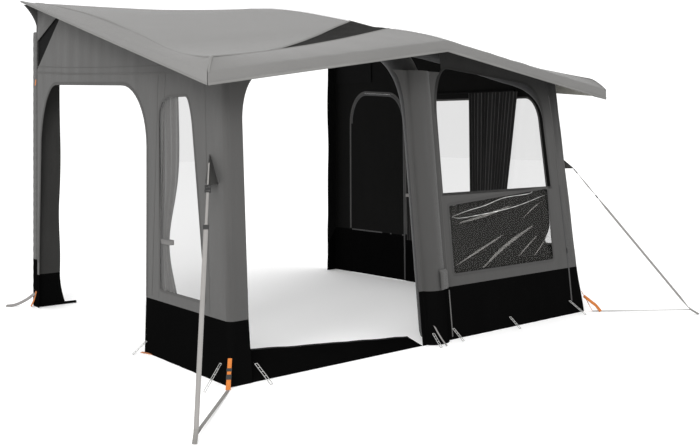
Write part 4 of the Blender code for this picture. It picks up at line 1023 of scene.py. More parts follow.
class AWNING_OT_roof(Operator):
    """Hang the roof: its two slopes, the side bands, the front canopy, the mesh vent and the seams"""

    bl_idname = "awning.roof"
    bl_label = "Roof"

    columns = 96
    rows = 72
    band_columns = 10
    canopy_columns = 120

    def main_sheet(self):
        bands = self.band_columns

        def place(i, j):
            share = j / self.rows
            if i < bands or i > bands + self.columns:
                sign = -1.0 if i < bands else 1.0
                step = (bands - i) if i < bands else (i - bands - self.columns)
                run = rounded_run(*eave_points(sign, share), bands - 6, 2, 0.004 * share)
                return run[step]
            across = 2.0 * (i - bands) / self.columns - 1.0
            x_front = across * CREASE_HALF_FRONT
            deep = main_edge_depth(x_front)
            depth = deep * share
            x = across * crease_half(depth) + (x_front - across * crease_half(deep)) * share
            return roof_point(x, depth)

        work = grid(self.columns + 2 * bands, self.rows, place)
        soft = []
        for corner in work.verts:
            depth = SHIFT_Y - corner.co.y
            near_crease = abs(abs(corner.co.x) - crease_half(depth)) < 0.05
            if depth > 0.05 and not corner.is_boundary and (near_crease or abs(corner.co.x) < 0.06):
                soft.append(corner)
        for _ in range(3):
            bmesh.ops.smooth_vert(work, verts=soft, factor=0.5, use_axis_x=False, use_axis_y=False, use_axis_z=True)
        cloth("roof_cloth_main", work, ["roof", "roof_inner"], ("roof_main", "side_band_left", "side_band_right"), UP,
              (3.75, 3.20), "stretched", ("air_beam_left", "air_beam_middle", "air_beam_right"))

    def canopy(self):
        columns = self.canopy_columns
        rows = 18

        def place(i, j):
            across = 2.0 * i / columns - 1.0
            upper, lip, low = canopy_rows(across)
            run = rounded_run(upper, lip, low, rows - 8, 5, 0.008)
            point = run[j]
            held = min(1.0, 3.0 * j / rows) * min(1.0, 8.0 * (1.0 - abs(across)))
            fold = ripple(across * 1.9, point.y, 0.13, 3.0, 11.0) * held * (1.0 + 0.6 * j / rows)
            return point + Vector((0.0, -0.35, 1.0)) * settings().slack * 0.7 * fold

        cloth("front_canopy_cloth", grid(columns, rows, place), ["roof", "overhang"], ("front_canopy",),
              Vector((0.0, -0.6, 1.0)), (3.82, 0.78), "stretched",
              ("air_beam_middle", "leg_sleeve_left", "leg_sleeve_right"))

    def vent(self):
        station = 2.0 * CREASE_HALF_FRONT / 20
        each_side = int(VENT_HALF_WIDTH / station)
        columns, rows = 72, 12

        def place(i, j):
            x = (2.0 * i / columns - 1.0) * each_side * station
            near, far = main_edge_depth(x) - 0.0005, seam_depth(x) + 0.0005
            share = j / rows
            depth = between(near, far, share)
            sink = 4.0 * share * (1.0 - share) * (far - near)
            fold = ripple(x, depth, 0.16, 1.0, 21.0) * 0.010 * sink / 0.43
            return world(x, depth, roof_height(x, depth) - 0.008 * sink / 0.43 + fold)

        cloth("vent_mesh", grid(columns, rows, place), ["net"], ("roof_vent_mesh",), UP, (2.52, 0.44), "stretched",
              ("roof_main", "front_canopy"), thickness=0.0008)

    def seams(self):
        strips = Strips()
        steps = 48
        rise = Vector((0.0, 0.0, 0.0012))
        ridge = [roof_point(0.0, VENT_RIDGE_DEPTH * k / steps) + rise for k in range(steps + 1)]
        strips.band(ridge, Vector((0.0, -0.2, 1.0)), 0.016, 0.0008)
        for sign in (-1, 1):
            crease = []
            for k in range(steps + 1):
                depth = 0.03 + (CREASE_DEPTH - 0.06) * k / steps
                crease.append(crease_point(sign, depth) + Vector((sign * 0.001, 0.0, 0.0025 - 0.004 * min(1, k / 6))))
            strips.band(crease, Vector((sign * 0.55, -0.15, 0.8)), 0.012, 0.0007)
            run = rounded_run(*canopy_rows(sign), 10, 5, 0.008)[:-5]
            lifted = [p + Vector((-sign * 0.004, -0.001, 0.0016)) for p in run]
            strips.band(lifted, Vector((sign * 0.5, -0.7, 0.6)), 0.012, 0.0007)
        across, back = [], []
        for k in range(73):
            share = 2.0 * k / 72 - 1.0
            x = share * (CREASE_HALF_FRONT - 0.01)
            depth = seam_depth(x)
            across.append(world(x, depth, roof_height(x, depth)) + rise)
            x = share * VENT_HALF_WIDTH
            back.append(roof_point(x, main_edge_depth(x)) + rise)
        strips.band(across, Vector((0.0, -0.35, 1.0)), 0.020, 0.0010)
        strips.band(back, Vector((0.0, -0.3, 1.0)), 0.020, 0.0010)
        strips.finish("roof_seams", ["seam_roof"])

        hem = Strips()
        outside = Vector((0.0, -0.0012, 0.010))
        front = [canopy_rows(2.0 * k / 120 - 1.0)[2] + outside for k in range(121)]
        hem.band(front, FORWARD, 0.020, 0.0009)
        for sign in (-1, 1):
            outside = Vector((sign * 0.0012, 0.0, 0.006))
            side = [eave_points(sign, 0.01 + 0.985 * k / 60)[2] + outside for k in range(61)]
            hem.band(side, aside(sign), 0.012, 0.0008)
        ridge = [canopy_rows(0.0)[0].lerp(canopy_rows(0.0)[1], k / 12) for k in range(12)]
        hem.band([p + Vector((0.0, 0.0, 0.009)) for p in ridge[1:]], Vector((0.0, -0.3, 1.0)), 0.012, 0.0008)
        hem.finish("roof_hems", ["seam_roof"])

    def execute(self, context):
        self.main_sheet()
        self.canopy()
        self.vent()
        self.seams()
        return {"FINISHED"}


# Air beams


KNEE_FOOT = 1.55
KNEE_TURN = 1.85
KNEE_DEPTH_MIDDLE = 2.20
KNEE_DEPTH_SIDE = 2.36


def rib_points(leg, x_of, z_of, knee_depth, inset):
    """Centre line of a beam: up the leg, round the knee and back along the roof to the rail."""
    steps = 8
    points = [leg(0.012)] + [leg(KNEE_FOOT * k / 3.0) for k in (1, 2, 3)]
    roof = []
    for k in range(steps + 1):
        depth = knee_depth * (1.0 - k / steps) + BEAM_REAR * k / steps
        roof.append(world(x_of(depth), depth, z_of(depth)))
    start, end = points[-1], roof[0]
    turn = leg(z_of(front_depth(KNEE_TURN) - inset - 0.05)) + Vector((0.0, 0.006, 0.0))
    for k in range(1, 6):
        t = k / 6.0
        points.append(start.lerp(turn, t).lerp(turn.lerp(end, t), t))
    return points + roof + [roof[-1] + Vector((0.0, 0.03, 0.0))]


class AWNING_OT_beams(Operator):
    """Fill the three air beams: feet, knees and runs along the roof, with their sewn sleeves"""

    bl_idname = "awning.beams"
    bl_label = "Air beams"

    def beam(self, name, points, radius, seed):
        line = resampled(rounded(points), 0.035)
        radii = []
        for k in range(len(line)):
            end = min(1.0, (min(k, len(line) - 1 - k) + 0.35) / 2.2)
            pucker = 0.0012 * noise.noise(Vector((k * 0.9, seed, 0.0)))
            radii.append((radius - 0.0012) * math.sqrt(max(0.05, 1.0 - (1.0 - end) ** 2)) + pucker - 0.001)
        made = Strips().cord(line, radius, 32, 0, radii).finish(name + "_sleeve", ["beam"], replaces=(name,))
        for face in made.data.polygons:
            face.use_smooth = True

    def execute(self, context):
        seat = CLOTH / 2.0 + BEAM_RADIUS
        side_seat = CLOTH / 2.0 + SIDE_BEAM_RADIUS
        middle = BEAM_INSET - MIDDLE_BULGE - 0.0008

        def middle_leg(height):
            return world(0.0, front_depth(height) - middle, height)

        def ridge_z(depth):
            lower = BEAM_BELOW_ROOF * min(1.0, max(0.0, depth - BEAM_REAR) / 0.3)
            return roof_height(0.0, depth) - seat - lower - 0.0004

        line = rib_points(middle_leg, lambda d: 0.0, ridge_z, KNEE_DEPTH_MIDDLE, BEAM_INSET)
        self.beam("air_beam_middle", line, BEAM_RADIUS, 3.0)
        for sign, name in ((-1, "air_beam_left"), (1, "air_beam_right")):
            def side_leg(height):
                front = front_depth(height)
                return world(sign * (side_half(front, height) - SIDE_BEAM_INSET), front - SIDE_BEAM_INSET, height)

            def x_of(depth):
                return sign * (side_half(depth, RAIL_HEIGHT) - SIDE_BEAM_RADIUS - BEAM_FROM_WALL)

            def z_of(depth):
                return roof_height(side_half(depth, 0.0), depth) - side_seat - BEAM_BELOW_ROOF

            line = rib_points(side_leg, x_of, z_of, KNEE_DEPTH_SIDE, SIDE_BEAM_INSET)
            self.beam(name, line, SIDE_BEAM_RADIUS, 5.0 + sign)
        return {"FINISHED"}


# Side walls


def wall_outline(sign):
    """The side wall's cut, from its rear foot round the door, the leg edge and up under the roof."""
    if sign < 0:
        rear, front, _ = DOOR_LEFT
        low, foot = REAR_MUD_HEIGHT, MUD_HEIGHT
        arch = door_arch_left()
    else:
        rear, front, _ = DOOR_RIGHT
        low, foot = MUD_HEIGHT_RIGHT, MUD_HEIGHT_RIGHT
        arch = door_arch_right()
    outline = [(EDGE_GAP, low), (rear, low)] + arch
    outline += [(front, foot), (leg_edge(foot), foot)]
    return outline + upper_edge(EDGE_GAP, GUSSET_WALL_HEIGHT)


class AWNING_OT_side_walls(Operator):
    """Hang the two side walls with their seams, window bindings and clear films"""

    bl_idname = "awning.side_walls"
    bl_label = "Side walls"

    def wall(self, sign, side, window):
        name = "side_wall_" + side
        loops = [wall_outline(sign), window_loop(window)]
        place = side_wall_place(sign, loops, 5.0 + sign)
        cloth(name + "_cloth", cut_sheet(name, loops, place), ["wall", "inner"], (name,), aside(sign), (2.80, 2.20),
              "stretched", ("roof_main",))

    def film(self, sign, side, window):
        def place(u, v):
            wave = 0.0025 * ripple(u, v, 0.22, 2.0, 31.0 + sign)
            return world(sign * (side_half(u, v) + wave), u, v)

        name = "window_film_" + side
        work = cut_sheet(name, [window_loop(window, 0.0012)], place, FILM_CELL)
        flat = (window[1] - window[0], window[3] - window[2])
        cloth(name + "_clear", work, ["film"], (name,), aside(sign), flat, "stretched", ("side_wall_" + side,),
              thickness=0.0)

    def trim(self, sign, side, window):
        wall = side_wall_place(sign, [wall_outline(sign), window_loop(window)], 5.0 + sign)
        out = aside(sign)
        place = shifted(wall, out * STITCH_LIFT)
        strips = Strips()
        upper = [(0.01, 1.926), (0.55, 1.890), (1.2, 1.858), (1.9, 1.832), (2.32, 1.815), (2.58, 1.805)]
        strips.tape(place, upper, out, 0.014)
        strips.tape(place, [(u, v + 0.048) for u, v in upper], out, 0.006)
        foot = MUD_HEIGHT if sign < 0 else MUD_HEIGHT_RIGHT
        uprights, head = ((2.024, 2.114), 1.815) if sign < 0 else ((0.13, 1.115), 1.86)
        for u in uprights:
            strips.tape(place, [(u, head), (u, foot + 0.02)], out, 0.008)
        front = [(leg_edge(v) - 0.006, v) for v in (0.38, 0.9, 1.4, 1.75)]
        strips.tape(place, front, out, 0.010)
        strips.finish("wall_seams_" + side, ["seam_wall"])

        strips = Strips()
        loop = window_loop(window, -0.007)
        arch = door_arch_left(0.011) if sign < 0 else door_arch_right(0.011)
        rear, front_edge = (DOOR_LEFT if sign < 0 else DOOR_RIGHT)[:2]
        path = [(rear - 0.011, foot + 0.01)] + arch + [(front_edge + 0.011, foot + 0.01)]
        for face in (out, -out):
            for line, width in ((loop + loop[:2], 0.016), (path, 0.022)):
                strips.tape(shifted(wall, face * STITCH_LIFT), line, face, width, 0.0012)
        strips.finish("wall_binding_" + side, ["binding"])

    def execute(self, context):
        sides = ((-1, "left", WINDOW_LEFT), (1, "right", WINDOW_RIGHT))
        for make in (self.wall, self.film, self.trim):
            for side in sides:
                make(*side)
        return {"FINISHED"}


# Legs and mud walls


ARC_COLUMNS = 10
FLANK_COLUMNS = 4
FRONT_COLUMNS = 6
TUBE_COLUMNS = 16
WING_COLUMNS = 3


def side_section(sign, height, wing):
    """Outer surface of a side leg at a height: side flange, rounded corner, front wing."""
    front = front_depth(height)
    corner = side_half(front, height)
    radius = LEG_CORNER_RADIUS
    start = leg_edge(height)
    turn = front - radius
    points = []
    for k in range(FLANK_COLUMNS + 1):
        depth = start + (turn - start) * k / FLANK_COLUMNS
        points.append((side_half(depth, height), depth))
    for k in range(1, ARC_COLUMNS):
        angle = math.radians(90.0 * k / ARC_COLUMNS)
        points.append((corner - radius + radius * math.cos(angle), turn + radius * math.sin(angle)))
    for k in range(FRONT_COLUMNS + 1):
        points.append((corner - radius + (wing - corner + radius) * k / FRONT_COLUMNS, front))
    return [world(sign * x, depth, height) for x, depth in points]


def middle_section(height, wing):
    """Outer surface of the middle leg at a height: a wing, the bulge over the tube, the other wing."""
    front = front_depth(height)
    flat = wing - MIDDLE_TUBE_HALF
    points = [(-wing + flat * k / WING_COLUMNS, front) for k in range(WING_COLUMNS)]
    for k in range(TUBE_COLUMNS + 1):
        angle = math.pi * k / TUBE_COLUMNS
        points.append((-math.cos(angle) * MIDDLE_TUBE_HALF, front + MIDDLE_BULGE * math.sin(angle)))
    points += [(MIDDLE_TUBE_HALF + flat * k / WING_COLUMNS, front) for k in range(1, WING_COLUMNS + 1)]
    return [world(x, depth, height) for x, depth in points]


def pushed(points, index, fold):
    """A point of a section moved in or out along the section's own normal."""
    near, far = points[max(0, index - 1)], points[min(len(points) - 1, index + 1)]
    along = far - near
    normal = Vector((along.y, -along.x, 0.0)).normalized()
    return points[index] + normal * fold


class AWNING_OT_legs(Operator):
    """Sew the three leg sleeves with their flared tops, and the black mud walls below them"""

    bl_idname = "awning.legs"
    bl_label = "Legs and mud walls"

    def side_leg(self, sign, side):
        reach = FLARE_LEFT if sign < 0 else FLARE_RIGHT
        rows = 56
        count = len(side_section(1, 1.0, 1.5)) - 1
        tops = []
        for i in range(count + 1):
            height = WING_TOP_SIDE
            for _ in range(5):
                point = side_section(1, height, side_wing(height, reach))[i]
                height = roof_height(point.x, SHIFT_Y - point.y) - LEG_BELOW_ROOF
            tops.append(height)

        def place(i, j):
            height = MUD_HEIGHT + (tops[i] - MUD_HEIGHT) * j / rows
            section = side_section(sign, height, side_wing(min(height, WING_TOP_SIDE), reach))
            edge = min(i, count - i) / count
            held = min(1.0, edge * 6.0) * min(1.0, j / 3.0, (rows - j) / 4.0)
            fold = 0.0042 * ripple(i * 0.03, height, 0.06, 9.0, 41.0 + sign)
            fold += 0.0030 * ripple(i * 0.03, height, 0.12, 2.2, 44.0 + sign)
            return pushed(section, i, held * fold * (1.0 if sign < 0 else -1.0))

        name = "leg_sleeve_" + side
        # The right leg gets the wall cloth with painted shade and a painted canopy shadow at its top; the left leg gets
        # the plain wall cloth
        cloth(name + "_cloth", grid(count, rows, place), ["wall" if sign < 0 else "wall_leg", "inner"], (name,),
              Vector((sign, -1.0, 0.0)), (0.46, 1.58), "stretched", ("air_beam_" + side,))

    def middle_leg(self):
        rows = 56
        count = len(middle_section(1.0, 0.145)) - 1

        def place(i, j):
            height = MUD_HEIGHT + (WING_TOP_MIDDLE - MUD_HEIGHT) * j / rows
            section = middle_section(height, middle_wing(height))
            held = min(1.0, min(i, count - i) / 4.0) * min(1.0, j / 3.0, (rows - j) / 4.0)
            fold = 0.0035 * ripple(i * 0.02, height, 0.05, 9.0, 51.0) + 0.002 * ripple(i * 0.02, height, 0.1, 2.0, 54.0)
            return pushed(section, i, held * fold)

        cloth("leg_sleeve_middle_cloth", grid(count, rows, place), ["wall_middle", "inner"], ("leg_sleeve_middle",),
              FORWARD, (0.45, 1.52), "stretched", ("air_beam_middle",))

    def side_mudwall(self, sign, name, door_edge, height):
        section_count = len(side_section(1, 0.2, LEG_WING_HALF)) - 1
        wall_columns = 22 if sign < 0 else 44
        rows = 12

        def place(i, j):
            share = j / rows
            if i < wall_columns:
                z = between(MUD_LIFT, height, share)
                u = door_edge + (leg_edge(z) - door_edge) * i / wall_columns
                held = min(1.0, i / 3.0, (wall_columns - i) / 3.0) * min(1.0, (rows - j) / 3.0)
                fold = 0.005 * ripple(u, z, 0.09, 3.0, 61.0 + sign) + 0.004 * ripple(u, z, 0.3, 1.0, 66.0)
                return world(sign * (side_half(u, z) + held * fold), u, z)
            blend = min(1.0, (i - wall_columns) / 2.0)
            top = between(height, MUD_HEIGHT, blend)
            z = between(MUD_LIFT, top, share)
            section = side_section(sign, z, LEG_WING_HALF)
            index = i - wall_columns
            point = section[index]
            corner = world(sign * side_half(DEPTH, z), DEPTH, z)
            turn = abs(index - 9) / 5.0
            if turn < 1.0:
                point = point.lerp(corner, (1.0 - turn) * (1.0 - share) ** 2)
            return point

        cloth(name + "_cloth", grid(wall_columns + section_count, rows, place), ["mud", "mud"], (name,),
              Vector((sign, -1.0, 0.0)), (DEPTH - door_edge + 0.15, height), "hung",
              (name.replace("mudwall", "side_wall"),))

    def front_mudwall(self):
        section = middle_section(0.2, MIDDLE_WING_HALF)
        count = len(section) - 1
        wall_columns = 52
        rows = 12

        def place(i, j):
            z = MUD_LIFT + (MUD_HEIGHT - MUD_LIFT) * j / rows
            if i <= count:
                return middle_section(z, MIDDLE_WING_HALF)[i]
            share = (i - count) / wall_columns
            x = between(MIDDLE_WING_HALF, LEG_WING_HALF, share)
            held = min(1.0, 12.0 * share, 12.0 * (1.0 - share)) * min(1.0, (rows - j) / 3.0)
            fold = 0.005 * ripple(x, z, 0.10, 3.0, 71.0) + 0.004 * ripple(x, z, 0.3, 1.0, 76.0)
            return world(x, front_depth(z) + held * fold, z)

        cloth("mudwall_front_cloth", grid(count + wall_columns, rows, place), ["mud", "mud"], ("mudwall_front",),
              FORWARD, (1.73, 0.36), "hung", ("front_panel_right",))

    def execute(self, context):
        for sign, side in SIDES:
            self.side_leg(sign, side)
        self.middle_leg()
        self.side_mudwall(-1, "mudwall_left", DOOR_LEFT[1], MUD_HEIGHT)
        self.side_mudwall(1, "mudwall_right", DOOR_RIGHT[1], MUD_HEIGHT_RIGHT)
        self.front_mudwall()
        return {"FINISHED"}


# Front right panel


def front_panel_loops():
    """The panel's cut, up its right edge, along the canopy and down the middle leg, with its two openings."""
    steps = 10

    def heights(top):
        knee = top - FLARE_HEIGHT
        return [MUD_HEIGHT] + [knee + FLARE_HEIGHT * k / steps for k in range(steps + 1)]

    outline = [(side_wing(height), height) for height in heights(WING_TOP_SIDE)]
    right = side_wing(PANEL_TOP)
    left = middle_wing(WING_TOP_MIDDLE)
    for k in range(13):
        x = right + (left - right) * k / 12.0
        outline.append((x, roof_height(x, front_depth(PANEL_TOP + 0.01)) - PANEL_BELOW_ROOF))
    outline += [(middle_wing(height), height) for height in reversed(heights(WING_TOP_MIDDLE))]
    return [outline, pane_loop(), veranda_loop()]


class AWNING_OT_front_panel(Operator):
    """Hang the front panel with its clear pane, the arched opening above it, its bindings and its zips"""

    bl_idname = "awning.front_panel"
    bl_label = "Front panel"

    def execute(self, context):
        loops = front_panel_loops()

        def place(u, v):
            pinned = min(1.0, distance_to(u, v, loops) / 0.06)
            fold = 0.004 * ripple(u, v, 0.12, 4.0, 81.0)
            return world(u, front_depth(v) + pinned * fold, v)

        cloth("front_panel_cloth", cut_sheet("front_panel_right", loops, place), ["wall_front", "inner"],
              ("front_panel_right",), FORWARD, (1.40, 1.60), "stretched", ("front_canopy",))

        def pane(u, v):
            return world(u, front_depth(v) + 0.002 * ripple(u, v, 0.2, 1.4, 83.0), v)

        work = cut_sheet("front_film_lower", [pane_loop(0.0008)], pane, FILM_CELL)
        cloth("front_pane_clear", work, ["pane_film"], ("front_film_lower",), FORWARD, (1.13, 0.50), "stretched",
              ("front_panel_right",), thickness=0.0)

        strips = Strips()
        out = Vector((0.0, -1.0, 0.1))
        for side in (1.0, -1.0):
            for loop, width in ((pane_loop(-0.009), 0.020), (veranda_loop(-0.008), 0.018)):
                strips.tape(on_front(STITCH_LIFT * side), loop + loop[:2], out * side, width, 0.0011)
        strips.finish("front_panel_binding", ["binding_front"])

        zip_line = [(side_wing(v), v) for v in (0.10, 0.30, 0.36, 0.6, 0.9, SILL_HEIGHT)]
        seam = [(middle_wing(v) + 0.002, v) for v in (0.38, 0.7, 1.1, 1.57)]
        upper = [(side_wing(SILL_HEIGHT + 0.06 * k), SILL_HEIGHT + 0.06 * k) for k in range(13)]
        mud_zip = [(MIDDLE_WING_HALF + 0.004, v) for v in (0.02, 0.15, 0.34)]
        for name, kind, paths, width, thick in (
                ("front_zip_tape", "zip", [zip_line], 0.015, 0.0014),
                ("front_panel_seams", "seam_wall", [seam, upper], 0.007, 0.0008),
                ("front_mudwall_zip", "zip_grey", [mud_zip], 0.009, 0.0012)):
            strips = Strips()
            for path in paths:
                strips.tape(on_front(TAPE_LIFT), path, out, width, thick)
            strips.finish(name, [kind])
        return {"FINISHED"}


# Rear edge


def softened(node, body="awning", width=0.0006):
    """The rigid solid of a small part with its edges rounded over."""
    source = frame["nodes"][node]
    work = bmesh.new()
    work.from_mesh(source.data)
    work.transform(source.matrix_world)
    bmesh.ops.remove_doubles(work, verts=work.verts, dist=1e-6)
    bmesh.ops.dissolve_limit(work, angle_limit=math.radians(3.0), verts=work.verts, edges=work.edges)
    sharp = [edge for edge in work.edges if edge.calc_face_angle(0.0) > 0.5]
    bmesh.ops.bevel(work, geom=sharp, offset=width, offset_type="OFFSET", affect="EDGES", segments=2, profile=0.5,
                    material=-1, clamp_overlap=True)
    bmesh.ops.recalc_face_normals(work, faces=work.faces[:])
    made = piece(node + "_moulded", work, ["plastic"], body, (node,))
    for face in made.data.polygons:
        face.use_smooth = False
    return made


class AWNING_OT_rear_edge(Operator):
    """Close the rear corners: gussets, dark panels, padded seals, mud flaps and the rail beading"""

    bl_idname = "awning.rear_edge"
    bl_label = "Rear edge"

    def gusset(self, sign, name):
        loop = [(EDGE_GAP, GUSSET_FLAP_HEIGHT), (GUSSET_LENGTH - 0.01, wall_top(GUSSET_LENGTH) + 0.003),
                (EDGE_GAP, wall_top(0.0))]

        def place(u, v):
            held = min(1.0, distance_to(u, v, [loop]) / 0.05)
            return world(sign * (side_half(u, v) + held * (0.004 + 0.006 * ripple(u, v, 0.12, 1.5, 91.0))), u, v)

        cloth(name + "_cloth", cut_sheet(name, [loop], place, FINE_CELL), ["wall", "inner"], (name,), aside(sign),
              (0.52, 0.31), "stretched", ("roof_main",))
        Strips().tape(on_side(sign, TAPE_LIFT), loop[:2], aside(sign), 0.012).finish(name + "_hem", ["seam_wall"])

    def corner(self, sign, side):
        """A near-black sheet behind the gusset, a painted shadow under its flap, and the small wing of cloth from the
        roof's tip to the seal's top.
        """
        foot, tip = 1.93, 2.472

        # Places the near-black sheet that stands in for the shadow under the gusset flap
        def lining(i, j):
            u = -0.045 + 0.605 * i / 10
            high = roof_height(side_half(max(u, 0.0), 2.3), max(u, 0.0)) - 0.016
            v = foot + (high - foot) * j / 12
            return world(sign * (side_half(max(u, 0.0), v) - 0.010), u, v)

        cloth("rear_corner_lining_" + side, grid(10, 12, lining), ["dark", "dark"], (), aside(sign), (0.61, 0.58),
              "stretched", ("side_wall_" + side,), thickness=LINING_CLOTH)

        def hem(i, j):
            u = 2.35 + 0.62 * i / 20
            top = eave_height(u) + 0.018
            low = min(top - 0.004, 1.722 + 0.0895 * (3.08 - u))
            return world(eave_half(u) - 0.005, u, low + (top - low) * j / 4)

        if sign > 0:
            cloth("side_band_right_lining", grid(20, 4, hem), ["soffit", "soffit"], (), aside(1), (0.62, 0.08),
                  "hung", ("roof_main",), thickness=LINING_CLOTH)

        def wing(i, j):
            part = j / 12
            inner, outer = 1.575, 1.592 + 0.112 * part ** 2
            x = inner + (outer - inner) * i / 6
            return world(sign * x, -0.003 + 0.001 * math.sin(9.0 * part), between(SEAL_TOP, tip, part))

        cloth("rear_wing_" + side, grid(6, 12, wing), ["wall", "inner"], (), FORWARD, (0.13, 0.26), "stretched",
              ("roof_main",), thickness=LINING_CLOTH)

    def panel(self, sign, name):
        half = REAR_HALF_WIDTH - 0.0024
        inner = REAR_HALF_WIDTH - REAR_PANEL_WIDTH[sign > 0]
        top = roof_height(half, 0.0) - WALL_BELOW_ROOF
        corner = REAR_MUD_HEIGHT if sign < 0 else MUD_HEIGHT_RIGHT
        columns, rows = 10, 60

        def place(i, j):
            share = i / columns
            low = between(REAR_MUD_HEIGHT, corner, share)
            z = low + (top - low) * j / rows
            x = between(inner, half, share)
            held = (1.0 - share) * min(1.0, j / 4.0, (rows - j) / 4.0)
            sway = 0.012 * ripple(z, 0.0, 0.5, 1.0, 95.0 + sign) * held
            fold = 0.006 * ripple(x, z, 0.05, 8.0, 96.0) * held
            return world(sign * (x + sway), 0.004 + abs(fold), z)

        # The right panel, on the far side, gets the near-black painted-shade cloth; the left panel gets the rear cloth
        kinds = ["rear_cloth" if sign < 0 else "dark"] * 2
        cloth(name + "_cloth", grid(columns, rows, place), kinds, (name,), -FORWARD,
              (REAR_PANEL_WIDTH[sign > 0], 2.23), "hung", ("roof_main",))

    def mudflap(self, sign, name):
        inner = REAR_HALF_WIDTH - REAR_PANEL_WIDTH[sign > 0]
        margin = DOOR_LEFT[0] if sign < 0 else DOOR_RIGHT[0]
        height = REAR_MUD_HEIGHT if sign < 0 else MUD_HEIGHT_RIGHT
        panel_columns, side_columns, rows = 10, 6, 10

        def place(i, j):
            part = j / rows
            if i <= panel_columns:
                share = i / panel_columns
                top = between(REAR_MUD_HEIGHT, height, share)
                widening = REAR_PANEL_FLARE[sign > 0] * (1.0 - share) * (1.0 - part) ** 2
                x = between(inner, REAR_HALF_WIDTH, share) - widening
                fold = 0.005 * abs(ripple(x, part, 0.05, 2.0, 101.0)) * (1.0 - share)
                return world(sign * x, 0.004 * (1.0 - share * 0.5) + fold, between(REAR_MUD_LIFT, top, part))
            depth = margin * (i - panel_columns) / side_columns
            z = between(REAR_MUD_LIFT, height, part)
            return world(sign * side_half(depth, z), depth, z)

        cloth(name + "_cloth", grid(panel_columns + side_columns, rows, place), ["mud", "mud"], (name,),
              Vector((sign, 1.0, 0.0)), (REAR_PANEL_WIDTH[sign > 0] + margin, height), "hung",
              (name.replace("mudflap", "panel"),))

    def seal(self, sign, name):
        strips = Strips()
        rings = []
        rows = 150
        for k in range(rows + 1):
            z = 0.001 + (SEAL_TOP - 0.001) * k / rows
            end = math.sqrt(max(0.02, 1.0 - max(0.0, 1.0 - min(k, rows - k) / 2.5) ** 2))
            pucker = 0.0011 * math.sin(z * TURN / 0.075) + 0.0016 * noise.noise(Vector((0.0, z / 0.05, sign)))
            ring = []
            for m in range(20):
                angle = TURN * m / 20
                flat = math.copysign(abs(math.cos(angle)) ** 0.7, math.cos(angle))
                thick = (0.0070 + pucker) * math.copysign(abs(math.sin(angle)) ** 0.8, math.sin(angle))
                ring.append(world(sign * (REAR_HALF_WIDTH + thick * end), -0.0427 - 0.0418 * flat, z))
            rings.append(ring)
        strips.tube(rings)
        for face in strips.work.faces:
            if face.calc_center_median().z < 0.40:
                face.material_index = 1
        made = strips.finish(name + "_pad", ["wall", "mud"], replaces=(name,))

    def execute(self, context):
        for sign, side in SIDES:
            self.gusset(sign, "rear_gusset_" + side)
            self.panel(sign, "rear_panel_" + side)
            self.mudflap(sign, "rear_mudflap_" + side)
            self.seal(sign, "rear_seal_" + side)
            self.corner(sign, side)
        strips = Strips()
        bead = [world(x, -0.0039, roof_height(x, 0.0)) for x in (-1.62 + 3.24 * k / 24 for k in range(25))]
        strips.cord(bead, 0.0035, 10)
        strips.finish("rail_beading_strip", ["webbing"], replaces=("rail_beading",))
        return {"FINISHED"}


class AWNING_OT_threshold(Operator):
    """Lay the mud strip that is left across the open front"""

    bl_idname = "awning.threshold"
    bl_label = "Threshold strip"

    def execute(self, context):
        columns, rows = 64, 8
        left, right = -LEG_WING_HALF + EDGE_GAP, -MIDDLE_WING_HALF - EDGE_GAP

        def place(i, j):
            share, part = i / columns, j / rows
            x = between(left, right, share) + THRESHOLD_LEG_CUT * (1.0 - share) * part
            rise = between(*THRESHOLD_RISE, share)
            held = min(1.0, 14.0 * share, 14.0 * (1.0 - share)) * part
            fold = 0.006 * ripple(x, part, 0.14, 2.0, 111.0) * held
            return world(x, DEPTH - CLOTH - THRESHOLD_REACH * part + fold, 0.0016 + (rise + fold) * part)

        cloth("threshold_cloth", grid(columns, rows, place), ["mud", "mud"], ("threshold_strip",),
              Vector((0.0, -1.0, 0.6)), (1.39, 0.21), "laid", ("leg_sleeve_left",))
        strips = Strips()
        edge = [Vector(place(k, rows)) + Vector((0.0, 0.0, 0.001)) for k in range(0, columns + 1, 2)]
        strips.band(edge, Vector((0.0, -0.4, 1.0)), 0.014, 0.0009)
        strips.finish("threshold_hem", ["seam_mud"])
        return {"FINISHED"}


# Door, curtains and folded film


class AWNING_OT_door(Operator):
    """Hang the door of the right wall, zipped shut, with its black foot and its sliders"""

    bl_idname = "awning.door"
    bl_label = "Door"

    def execute(self, context):
        rear, front, head = DOOR_RIGHT
        inset = 0.0009
        loop = arched(rear + inset, front - inset, 0.003, head - inset, head - inset - 0.02, (0.22, 0.30), (0.22, 0.30))
        work = cut_sheet("door_right", [loop], side_wall_place(1, [loop], 121.0))
        bmesh.ops.bisect_plane(work, geom=work.verts[:] + work.edges[:] + work.faces[:], dist=1e-6,
                               plane_co=(0.0, 0.0, MUD_HEIGHT_RIGHT), plane_no=(0.0, 0.0, 1.0))
        for face in work.faces:
            if face.calc_center_median().z < MUD_HEIGHT_RIGHT:
                face.material_index = 2
        cloth("door_right_cloth", work, ["wall", "inner", "mud", "mud"], ("door_right",), aside(1), (0.775, 1.82),
              "hung", ("side_wall_right",), "door")
        strips = Strips()
        border = arched(rear + 0.012, front - 0.012, 0.012, head - 0.012, head - 0.032, (0.21, 0.29), (0.21, 0.29))
        foot = [(rear + 0.01, MUD_HEIGHT_RIGHT), (front - 0.01, MUD_HEIGHT_RIGHT)]
        for side in (1.0, -1.0):
            for path, width in ((border[1:], 0.018), (foot, 0.012)):
                strips.tape(on_side(1, TAPE_LIFT * side), path, aside(side), width)
        strips.finish("door_right_zip_tape", ["zip"], "door")
        softened("zip_slider_door", "door_slider", 0.0005)
        softened("zip_slider_front", "front_slider", 0.0005)
        return {"FINISHED"}


